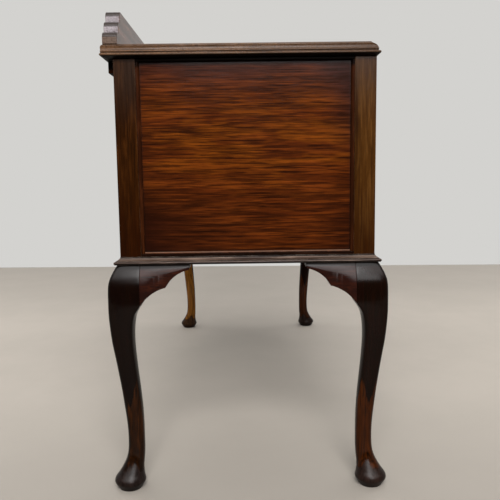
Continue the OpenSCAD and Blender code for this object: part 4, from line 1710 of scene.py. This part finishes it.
    def add_tenon(self, leg: Piece) -> None:
        """Creases the two ends of the shaft and raises the round tenon on its top.

        Args:
            leg: The leg.
        """
        ends = (0, self.height * MM)

        def at_end(edge: Any) -> bool:
            """Whether an edge lies in one of the two ends."""
            return any(all(abs(v.co.z - z) < SAME_LEVEL for v in edge.verts) for z in ends)

        Bench.pick(leg, at_end, "EDGE")
        bpy.ops.transform.edge_crease(value=1)
        Bench.modify(leg, "SUBSURF", levels=2, render_levels=2)
        around = arc((self.tenon_at, self.tenon_at), self.tenon_r, 0, 360, 32)[:-1]
        tenon = Bench.prism("tenon", [(x, y, self.height - 1) for x, y in around], (0, 0, self.tenon_l + 1))
        Bench.cut(leg, tenon, Cut.JOINED)

    def build(self) -> None:
        """Models one leg and sets a copy at each corner."""
        pattern = self.build_leg()
        for row, sy in (("front", 1), ("back", -1)):
            for side, sx in (("left", 1), ("right", -1)):
                place = (-sx * self.corner_x, -sy * self.corner_y, 0)
                leg = Bench.copy(pattern, f"cabriole_leg_{row}_{side}", place, (sx, sy, 1))
                paint(leg, finish_of(Finishes.legs, Grain.UPRIGHT))
                Bench.smooth(leg, 50)
                hand_over(leg, "carcase", "dark_leg", f"{row}_{side}_leg")
        Bench.drop(pattern)


@dataclass
class Brackets:
    """The shaped brackets beside the knees and in the corners of the kneehole."""

    leg: CabrioleLeg
    long: float = 85
    drop: float = 69
    cusp_at: float = 43
    cusp_drop: float = 39.5
    nose: float = 10
    nose_r: float = 5
    inner: float = 20
    tip_out: float = 9
    knee_x: float = 283
    kneehole_front: float = -218.5
    kneehole_under: float = 614
    kneehole_thick: float = 20

    def outline(self) -> List[Point]:
        """The bracket's outline: distance from the corner of the carcase, and height.

        Returns:
            The points, from the upper corner at the leg.
        """
        face, top = self.leg.face, self.leg.height
        nose = (face + self.long - self.nose_r, top - self.nose + self.nose_r)
        turn = math.radians(-75)
        tip = (nose[0] + self.nose_r * math.cos(turn), nose[1] + self.nose_r * math.sin(turn))
        cusp = (face + self.cusp_at, top - self.cusp_drop)
        return [
            (face, top), (face + self.long, top), *arc(nose, self.nose_r, 0, -75, 8),
            *bow(tip, cusp, -5.5, 16)[1:], *bow((cusp[0] - 2, cusp[1]), (face, top - self.drop), -4.6, 12),
        ]

    def build_knee_bracket(self) -> Piece:
        """One bracket along +X from a corner at the origin, cut from its front, its end and its plan.

        Returns:
            The bracket.
        """
        leg, top = self.leg, self.leg.height
        inner, low = self.inner, top - self.drop - 1
        front = Bench.prism(
            "bracket", [(x, inner + 1, z) for x, z in self.outline()], (0, -(inner + leg.knee_out + 4), 0)
        )
        curve = [(-leg.reach_out(top - self.drop * i / 20), top - self.drop * i / 20) for i in range(21)]
        end_points = [(inner, low), (inner, top + 1), (-leg.top_out, top + 1), *curve, (-leg.knee_out, low)]
        face = leg.face
        end = Bench.prism("bracket_end", [(face - 1, y, z) for y, z in end_points], (self.long + 3, 0, 0))
        Bench.cut(front, end, Cut.SHARED)
        plan_points = [
            (face - 2, inner + 2), (face - 2, -leg.knee_out - 1), (face, -leg.knee_out - 1),
            *bow((face + 12, -leg.knee_out + 1.5), (face + self.cusp_at, -self.tip_out - 6), 1.2, 8),
            (face + self.long + 2, -self.tip_out), (face + self.long + 2, inner + 2),
        ]
        plan = Bench.prism("bracket_plan", [(x, y, low - 1) for x, y in plan_points], (0, 0, self.drop + 4))
        return Bench.cut(front, plan, Cut.SHARED)

    def build_kneehole_bracket(self) -> Piece:
        """The flat bracket in the left upper corner of the kneehole.

        Returns:
            The bracket.
        """
        lift = self.kneehole_under - self.leg.height
        y = self.kneehole_front + 2
        points = [(x - self.leg.face - self.knee_x, y, z + lift) for x, z in self.outline()]
        return Bench.prism("kneehole_bracket", points, (0, self.kneehole_thick, 0))

    def build(self) -> None:
        """Models one bracket of each kind and sets the copies."""
        along = Bench.ease(self.build_knee_bracket(), 0.5, 2, 35)
        across = Bench.copy(along, "bracket_across", flip=(1, -1, 1), turn=90)
        paint(along, finish_of(Finishes.brackets, Grain.ALONG))
        paint(across, finish_of(Finishes.brackets, Grain.ACROSS))
        for side, sx in (("left", 1), ("right", -1)):
            made = []
            for row, sy in (("front", 1), ("back", -1)):
                place = (-sx * self.leg.corner_x, -sy * self.leg.corner_y, 0)
                made.append(Bench.copy(along, f"long_bracket_{row}_{side}", place, (sx, sy, 1)))
                made.append(Bench.copy(across, f"end_bracket_{row}_{side}", place, (sx, sy, 1)))
            pair = Bench.smooth(Bench.join(made, f"knee_brackets_{side}"), 40)
            hand_over(pair, "carcase", "bracket_wood", f"{side}_knee_brackets")
        Bench.drop(along, across)
        left = Bench.ease(self.build_kneehole_bracket(), 0.8, 3, 35)
        right = Bench.copy(left, "kneehole_bracket_right", flip=(-1, 1, 1))
        both = Bench.smooth(Bench.join([left, right], "kneehole_corner_brackets"), 40)
        paint(both, finish_of(Finishes.brackets, Grain.ALONG, 1))
        hand_over(both, "carcase", "bracket_wood", "kneehole_brackets")


@dataclass(frozen=True)
class Joinery:
    """A plain piece of joinery: its name, its part of the frame, its finish and how it is eased."""

    name: str
    node: str
    timber: Timber
    slot: str
    grain: Grain
    board: int = 0
    eased: float = 0.5


@dataclass
class Carcase:
    """The framed carcase: posts, rails, stiles, panels, partitions, runners and blocks."""

    plain: List[Joinery] = field(default_factory=list)

    def __post_init__(self) -> None:
        """Lists the joinery, both ends from one line where they match."""
        frame_slot, lining_slot, bead_slot = "mahogany_frame", "drawer_lining", "dark_bead"
        rails, end_rails, beads = Finishes.rails, Finishes.end_rails, Finishes.beads
        back, lining = Finishes.back, Finishes.lining
        along, across, upright = Grain.ALONG, Grain.ACROSS, Grain.UPRIGHT
        rows = {"front": Finishes.front_posts, "back": Finishes.posts}
        for number, (side, row) in enumerate((s, r) for s in ("left", "right") for r in rows):
            name, node = f"post_{row}_{side}", f"{row}_{side}_post"
            self.plain.append(Joinery(name, node, rows[row], frame_slot, upright, number, 0.7))
        for n, side in enumerate(("left", "right")):
            self.plain += [
                Joinery(f"end_rails_{side}", f"{side}_end_rails", end_rails, frame_slot, across, 4 + n),
                Joinery(f"end_beads_{side}", f"{side}_panel_beads", beads, bead_slot, upright, n, 0.3),
                Joinery(f"partition_{side}", f"{side}_partition", back, "mahogany_panel", across, n),
            ]
        self.plain += [
            Joinery("rail_under_top", "front_top_rail", rails, frame_slot, along, 6),
            Joinery("rails_back", "back_rails", rails, frame_slot, along, 7),
            Joinery("stiles_inner", "inner_stiles", rails, frame_slot, upright, 8),
            Joinery("rails_dividing", "divider_rails", rails, frame_slot, along, 9),
            Joinery("rail_kneehole", "kneehole_rail", rails, frame_slot, along, 10, 0.8),
            Joinery("rails_under_drawers", "bottom_front_rails", rails, frame_slot, along, 11),
            Joinery("batten_back", "back_batten", beads, bead_slot, along, 2, 1.2),
            Joinery("bottom_boards", "pedestal_bottoms", lining, lining_slot, along, 1),
            Joinery("runner_strips", "drawer_runners", lining, lining_slot, across, 2),
            Joinery("guide_strips", "drawer_guides", lining, lining_slot, across, 3),
            Joinery("blocks_glued", "glue_blocks", lining, lining_slot, along, 4, 0.8),
        ]

    def build(self) -> None:
        """Eases the arrises of each piece of joinery and dresses it, and paints the panels and screws."""
        for item in self.plain:
            piece = Bench.ease(Bench.from_frame(item.node, item.name), item.eased)
            paint(piece, finish_of(item.timber, item.grain, item.board))
            hand_over(Bench.smooth(piece), "carcase", item.slot, item.node)
        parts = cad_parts
        for number, side in enumerate(("left", "right")):
            paint(parts[f"{side}_end_panel"], finish_of(Finishes.panel, Grain.ACROSS, number))
        paint(parts["back_panels"], finish_of(Finishes.back, Grain.ALONG, 2))
        paint(parts["top_screws"], Finishes.steel.material())


@dataclass
class WaistMoulding:
    """The moulding round the foot of the carcase, in runs that meet in mitres."""

    level: float = 404
    high: float = 13
    out: float = 10.4
    nose: float = 2.4
    quirk: float = 1.3
    fillet: float = 2.2
    end_x: float = 589
    inner_x: float = 283
    deep: float = 437
    trim: float = 0.05

    def section(self) -> List[Point]:
        """The section, as reach and height above the legs.

        Returns:
            The points, from the lower corner at the frame.
        """
        shoulder, lift = self.out - self.nose, self.nose + 0.6
        top, head = lift + self.nose, self.high - self.fillet
        return [
            (0, 0), (shoulder + 1.2, 0), *arc((shoulder, lift), self.nose, -60, 96, 10),
            (shoulder - self.quirk, top - 0.2), (shoulder - self.quirk, top + 0.7),
            *bow((shoulder - 0.7, top + 0.9), (1.4, head), 0.9, 8),
            (0.5, head), (0.5, self.high), (0, self.high),
        ]

    def build_run(self, name: str, long: float) -> Piece:
        """A run along +X from the origin that faces -Y, cut to a mitre at both ends.

        Args:
            name: Name of the run.
            long: Its length along the frame.

        Returns:
            The run.
        """
        points = [(-self.out, -reach, self.level + high) for reach, high in self.section()]
        run = Bench.prism(name, points, (long + 2 * self.out, 0, 0))
        for at, way in ((self.trim, -1), (long - self.trim, 1)):
            Bench.edit_whole(run)
            bpy.ops.mesh.bisect(
                plane_co=(at * MM, 0, 0), plane_no=(way, 1, 0), use_fill=True, clear_outer=True,
            )
        Bench.outward(run)
        return Bench.smooth(Bench.ease(run, 0.25, 2, 35), 40)

    def build(self) -> None:
        """Runs the moulding round both pedestals' feet, the right one as the left one's mirror."""
        deep = self.build_run("run_deep", self.deep)
        front = self.build_run("run_front", self.end_x - self.inner_x)
        half = self.deep / 2
        along, across = (finish_of(Finishes.moulding, grain) for grain in (Grain.ALONG, Grain.ACROSS))
        for side in ("left", "right"):
            end = Bench.copy(deep, f"end_moulding_{side}", (-self.end_x, half, 0), turn=-90)
            inner = Bench.copy(deep, "inner_run", (-self.inner_x, -half, 0), turn=90)
            fore = Bench.copy(front, "fore_run", (-self.end_x, -half, 0))
            rear = Bench.copy(front, "rear_run", (-self.inner_x, half, 0), turn=180)
            for piece, finish in ((end, across), (inner, across), (fore, along), (rear, along)):
                paint(piece, finish)
            three = Bench.join([fore, inner, rear], f"pedestal_moulding_{side}")
            for piece, node in ((end, f"{side}_end_moulding"), (three, f"{side}_pedestal_moulding")):
                if side == "right":
                    piece.scale = (-1, 1, 1)
                    Bench.outward(Bench.settle(piece, piece.name))
                hand_over(piece, "carcase", "worn_moulding", node)
        Bench.drop(deep, front)


@dataclass
class Drawer:
    """A drawer: its front with the cock bead, its box and its handles."""

    name: str
    middle: float
    wide: float
    low: float
    high: float
    handles: Tuple[float, ...] = (0.0,)
    board: int = 0
    face: float = -217.5
    thick: float = 18
    gap: float = 0.8
    cock_wide: float = 3
    cock_high: float = 2.5
    cock_round: float = 1.25
    handle_lift: float = 7

    @property
    def body(self) -> str:
        """Name of the body that carries the drawer."""
        return f"{self.name}_drawer"

    @property
    def bails(self) -> List[str]:
        """Names of the bodies of its bails, from the left."""
        ends = ("",) if len(self.handles) == 1 else ("_left", "_right")
        return [f"{self.name}{end}_bail" for end in ends]

    @property
    def handle_z(self) -> float:
        """Height of the handles' axis."""
        return (self.low + self.high) / 2 + self.handle_lift

    def build_front(self) -> Piece:
        """A board whose face is let down inside its bead, the bead then rounded over.

        Returns:
            The front.
        """
        half = self.wide / 2 - self.gap
        nose = self.face - self.cock_high
        front = Bench.board(
            f"drawer_front_{self.name}", (self.middle - half, nose, self.low + self.gap),
            (self.middle + half, self.face + self.thick, self.high - self.gap),
        )
        Bench.pick(front, lambda f: f.normal.y < -SQUARE_ON, "FACE")
        bpy.ops.mesh.inset(thickness=self.cock_wide * MM, depth=0)
        Bench.extrude((0, self.cock_high * MM, 0))
        bead = finish_of(Finishes.beads, Grain.ALONG, 3)
        paint(front, finish_of(Finishes.drawers, Grain.ALONG, self.board), bead)
        Bench.pick(front, lambda f: f.calc_center_median().y < (self.face - 0.1) * MM, "FACE")
        Bench.assign(front, 1)
        Bench.pick(front, lambda e: all(v.co.y < (nose + 0.1) * MM for v in e.verts), "EDGE")
        bpy.ops.mesh.bevel(offset=self.cock_round * MM, segments=4, profile=0.5, affect="EDGES")
        Bench.clear()
        return front

    def build(self) -> None:
        """Models and dresses the drawer's wooden pieces."""
        front = Bench.smooth(self.build_front(), 40)
        hand_over(front, self.body, "drawer_face", f"{self.name}_front")
        box = Bench.ease(Bench.from_frame(f"{self.name}_box", f"drawer_box_{self.name}"), 0.6)
        paint(box, finish_of(Finishes.lining, Grain.ACROSS, 5 + self.board))
        hand_over(Bench.smooth(box), self.body, "drawer_lining", f"{self.name}_box")


@dataclass
class Handles:
    """The brass handles: back plates, posts with their nuts, and the hanging bails."""

    drawers: Sequence[Drawer]
    face: float = -217.5
    post_half: float = 38
    reach: float = 12.5
    rod: float = 2.2
    drop: float = 27
    grip: float = 3.2
    plate_thick: float = 1.5
    plate_end: float = 12
    plate_mid: float = 17
    plate_border: float = 0.6
    head: float = 6
    shank: float = 2.4
    flange: float = 6.5
    flange_thick: float = 1.6
    neck: float = 3.6
    nut: float = 6
    nut_thick: float = 4
    front_thick: float = 18
    glue: float = 0.1
    elbow: float = 4
    bend: float = 8
    pin_in: float = 4.5
    arm_gap: float = 1.2
    grip_steps: int = 10

    def build_round(self, x: float, z: float, radius: float) -> Piece:
        """One round of a back plate."""
        return Bench.disc("round", 48, radius, self.plate_thick, (x, self.face - self.plate_thick / 2, z))

    def build_plate(self) -> Piece:
        """A back plate of overlapping rounds, with a bevelled border.

        Returns:
            The plate.
        """
        half, end = self.post_half, self.plate_end
        rounds = ((half, 1, end), (half * 0.52, -5, end * 0.85), (half * 0.55, 6, end * 0.8))
        plate = self.build_round(0, 0, self.plate_mid)
        for side in (-1, 1):
            for x, z, radius in rounds:
                Bench.cut(plate, self.build_round(side * x, z, radius), Cut.JOINED)
        Bench.edit_whole(plate)
        bpy.ops.mesh.dissolve_limited(angle_limit=math.radians(1))
        Bench.pick(plate, lambda f: f.normal.y < -SQUARE_ON, "FACE")
        bpy.ops.mesh.bevel(offset=self.plate_border * MM, segments=3, affect="EDGES")
        Bench.clear()
        return plate

    def build_post(self) -> Piece:
        """A turned post, spun round its own axis, with its nut behind the drawer front.

        Returns:
            The post.
        """
        seat = self.plate_thick + self.glue
        end = -self.front_thick - seat - self.nut_thick - 2
        head = self.reach - seat
        profile = [
            (0, end), (self.shank - 0.5, end), (self.shank, end + 0.5), (self.shank, 0),
            (self.flange - 0.3, 0), (self.flange, 0.3),
            *arc((self.flange - 0.7, self.flange_thick - 0.5), 0.7, 0, 80, 4),
            *bow(
                (self.flange - 1.6, self.flange_thick + 0.3), (self.neck, self.flange_thick + 1.4), -0.2, 4,
            ),
            *arc((0, head), self.head, -50, 90, 14),
        ]
        y0 = self.face - seat
        post = Bench.outline("post", [(r, y0 - d, 0) for r, d in profile], close=False)
        bpy.ops.mesh.spin(
            steps=32, angle=2 * math.pi, center=(0, 0, 0), axis=(0, 1, 0), use_auto_merge=True,
        )
        Bench.outward(post)
        behind = self.face + self.front_thick + self.nut_thick / 2
        nut = Bench.ease(Bench.disc("nut", 6, self.nut, self.nut_thick, (0, behind, 0)), 0.5)
        return Bench.join([post, nut], "post")

    def build_bail(self) -> Piece:
        """Runs half a bail from its pin to the middle of its grip, then mirrors it.

        Returns:
            The bail.
        """
        y = (self.face - self.reach) * MM
        pin, elbow_x = self.post_half - self.pin_in, self.post_half + self.head + self.arm_gap
        bail = Bench.ring("bail", 16, self.rod, (pin, self.face - self.reach, 0), (0, QUARTER, 0), "FACE")
        Bench.extrude(((elbow_x - pin) * MM, 0, 0))
        centre = (elbow_x * MM, y, -self.elbow * MM)
        bpy.ops.mesh.spin(steps=6, angle=QUARTER, center=centre, axis=(0, 1, 0))
        Bench.extrude((0, 0, -(self.drop - self.bend - self.elbow) * MM))
        bend_x = elbow_x + self.elbow - self.bend
        centre = (bend_x * MM, y, (self.bend - self.drop) * MM)
        bpy.ops.mesh.spin(steps=8, angle=QUARTER, center=centre, axis=(0, 1, 0))
        size = self.rod
        for n in range(1, self.grip_steps + 1):
            Bench.extrude((-bend_x / self.grip_steps * MM, 0, 0))
            swell = math.cos(QUARTER * (1 - n / self.grip_steps)) ** 2
            want = self.rod + (self.grip - self.rod) * swell
            Bench.scale((1, want / size, want / size), (0, y, -self.drop * MM))
            size = want
        bpy.ops.mesh.delete(type="ONLY_FACE")
        Bench.modify(
            bail, "MIRROR", use_axis=(True, False, False), use_mirror_merge=True,
            merge_threshold=SAME_LEVEL,
        )
        Bench.outward(bail)
        return bail

    def build(self) -> None:
        """Models each brass piece once and sets the copies on the drawers."""
        brass = Finishes.brass.material()
        plate = Bench.smooth(paint(self.build_plate(), brass), 40)
        post = Bench.smooth(paint(self.build_post(), brass), 50)
        bail = Bench.smooth(paint(self.build_bail(), brass), 60)
        for drawer in self.drawers:
            fittings = []
            z = drawer.handle_z
            for body, at in zip(drawer.bails, drawer.handles):
                x = drawer.middle + at
                fittings.append(Bench.copy(plate, "plate_copy", (x, 0, z)))
                for side in (-1, 1):
                    fittings.append(Bench.copy(post, "post_copy", (x + side * self.post_half, 0, z)))
                made = Bench.copy(bail, body.replace("_bail", "_grip_bail"), (x, 0, z))
                hand_over(made, body, "brass", body)
            joined = Bench.join(fittings, f"handle_mounts_{drawer.name}")
            hand_over(joined, drawer.body, "brass", f"{drawer.name}_fittings")
        Bench.drop(plate, post, bail)


@dataclass(frozen=True)
class Lamp:
    """A soft rectangular lamp, in metres and watts, and whether polish mirrors it."""

    name: str
    place: Triple
    aim: Triple
    size: Point
    watts: float
    mirrored: bool = True

    def build(self) -> None:
        """Hangs the lamp and turns it to its aim."""
        data = bpy.data.lights.new(self.name, "AREA")
        data.shape = "RECTANGLE"
        data.size, data.size_y = self.size
        data.energy = self.watts
        lamp = bpy.data.objects.new(self.name, data)
        bpy.context.scene.collection.objects.link(lamp)
        lamp.location = self.place
        lamp.visible_camera = False
        lamp.visible_glossy = self.mirrored
        way = Vector(self.aim) - Vector(self.place)
        lamp.rotation_euler = way.to_track_quat("-Z", "Y").to_euler()


@dataclass
class Studio:
    """The plain room: floor, soft lamps, pale surroundings and the camera at the photograph's angle."""

    eye: Triple = (-1.63312, 0.00384, 0.55437)
    yaw: float = -0.00755
    pitch: float = 0.12202
    roll: float = -0.01308
    lens: float = 44.11
    sensor: float = 36.0
    floor_half: float = 2.08
    floor_turn: float = -3.06
    floor_tone: Colour = tone(168, 160, 150)
    wall: Colour = tone(211, 210, 207)
    near_x: Span = (-0.8, 0.0)
    far_x: Span = (0.6, 1.4)
    low_sky: Colour = (0.07, 0.07, 0.07)
    high_sky: Colour = (0.5, 0.5, 0.5)
    patch: Colour = (8.0, 8.0, 8.0)
    lamps: Tuple[Lamp, ...] = (
        Lamp("overhead", (0.3, 0.1, 2.6), (0, 0, 0.4), (2.8, 2.2), 26),
        Lamp("ceiling", (-2.75, 0, 2.45), (-0.9, 0, 0.5), (1.3, 0.65), 60),
        Lamp("front_fill", (1.2, -2.4, 1.4), (0.1, 0, 0.1), (1.6, 1.0), 16, mirrored=False),
        Lamp("back_fill", (1.2, 2.4, 1.4), (0.1, 0, 0.1), (1.6, 1.0), 16, mirrored=False),
        Lamp("window", (-3.4, -0.4, 1.82), (-0.6, 0, 0.6), (1.8, 0.95), 60),
    )

    def build_floor(self) -> None:
        """A plain pale floor, with painted light under the table where its shadow falls, and darker past
        the table's near end.
        """
        Bench.clear()
        turn = (0, 0, math.radians(self.floor_turn))
        bpy.ops.mesh.primitive_plane_add(size=2 * self.floor_half, location=(0, 0, 0), rotation=turn)
        floor = Bench.settle(bpy.context.active_object, "floor")
        pot = Pot(bpy.data.materials.new("floor_paint"))
        place = pot.place()
        x, _, _ = pot.parts(place)
        cloud = pot.noise(place, 4)
        dim, bright, spots = (tuple(c * share for c in self.floor_tone) for share in (0.8, 1.12, 0.7))
        # Painted light under the table, where its shadow falls; darker past its near end.
        shade = pot.mix(x.within(*self.near_x) * (1 - x.within(*self.far_x) * 0.5), dim, bright)
        shade = pot.mix(cloud.within(0.3, 0.7) * 0.12, shade, spots)
        paint(floor, pot.surface(Base_Color=shade, Roughness=0.6 + cloud * 0.1))

    def build_world(self) -> None:
        """Pale surroundings for the light, with a wall for the camera.

        The light is bright overhead and dim at the height of the table. Polish also mirrors the wall
        beyond the table and a bright patch high behind the camera.
        """
        world = bpy.data.worlds.new("room")
        bpy.context.scene.world = world
        pot = Pot(world)
        ahead, aside, up = pot.parts(pot.node("ShaderNodeTexCoord", output="Generated"))
        mirrored = pot.node("ShaderNodeLightPath", output="Is Glossy Ray")
        seen = pot.node("ShaderNodeLightPath", output="Is Camera Ray")
        beyond = ahead.within(-0.1, 0.6) * up.within(-0.15, 0.1) * mirrored
        behind = (0 - ahead).within(0.1, 0.5) * up.within(0.45, 0.7) * mirrored
        sides = abs(aside).within(0.7, 0.95) * (1 - abs(up - 0.05).within(0.1, 0.35))
        sky = pot.mix(up.within(0.02, 0.6), self.low_sky, self.high_sky)
        sky = pot.mix(beyond, pot.mix(behind, sky, self.patch), self.wall)
        sky = pot.mix(sides * 0.6, sky, self.wall)
        shade = pot.mix(seen, sky, self.wall)
        light = pot.node("ShaderNodeBackground", None, {"Color": shade, "Strength": 1})
        pot.node("ShaderNodeOutputWorld", None, {"Surface": light})

    def build_camera(self) -> None:
        """The camera, turned as it was for the photograph."""
        level = math.cos(self.pitch)
        ahead = Vector((level * math.cos(self.yaw), level * math.sin(self.yaw), -math.sin(self.pitch)))
        right = ahead.cross(Vector((0, 0, 1))).normalized()
        above = right.cross(ahead)
        cr, sr = math.cos(self.roll), math.sin(self.roll)
        right, above = cr * right + sr * above, cr * above - sr * right
        data = bpy.data.cameras.new("camera")
        data.sensor_width = self.sensor
        data.lens = self.lens
        camera = bpy.data.objects.new("camera", data)
        bpy.context.scene.collection.objects.link(camera)
        turn = Matrix((right, above, -ahead)).transposed().to_4x4()
        camera.matrix_world = Matrix.Translation(self.eye) @ turn
        bpy.context.scene.camera = camera

    def build(self) -> None:
        """Sets up the room."""
        bpy.context.scene.view_settings.view_transform = "Standard"
        self.build_camera()
        self.build_floor()
        self.build_world()
        for lamp in self.lamps:
            lamp.build()


def main() -> None:
    """Builds the room and the table, piece by piece."""
    logging.basicConfig(level=logging.INFO, format="%(message)s")
    Studio().build()
    TableTop().build()
    leg = CabrioleLeg()
    leg.build()
    Brackets(leg).build()
    Carcase().build()
    WaistMoulding().build()
    drawers = [
        Drawer("upper_left", -431, 244, 632, 732, board=0),
        Drawer("lower_left", -431, 244, 427, 614, board=1),
        Drawer("centre", 0, 566, 632, 732, (-150.0, 150.0), board=2),
        Drawer("upper_right", 431, 244, 632, 732, board=3),
        Drawer("lower_right", 431, 244, 427, 614, board=4),
    ]
    for drawer in drawers:
        drawer.build()
    Handles(drawers).build()


if __name__ == "__main__":
    main()
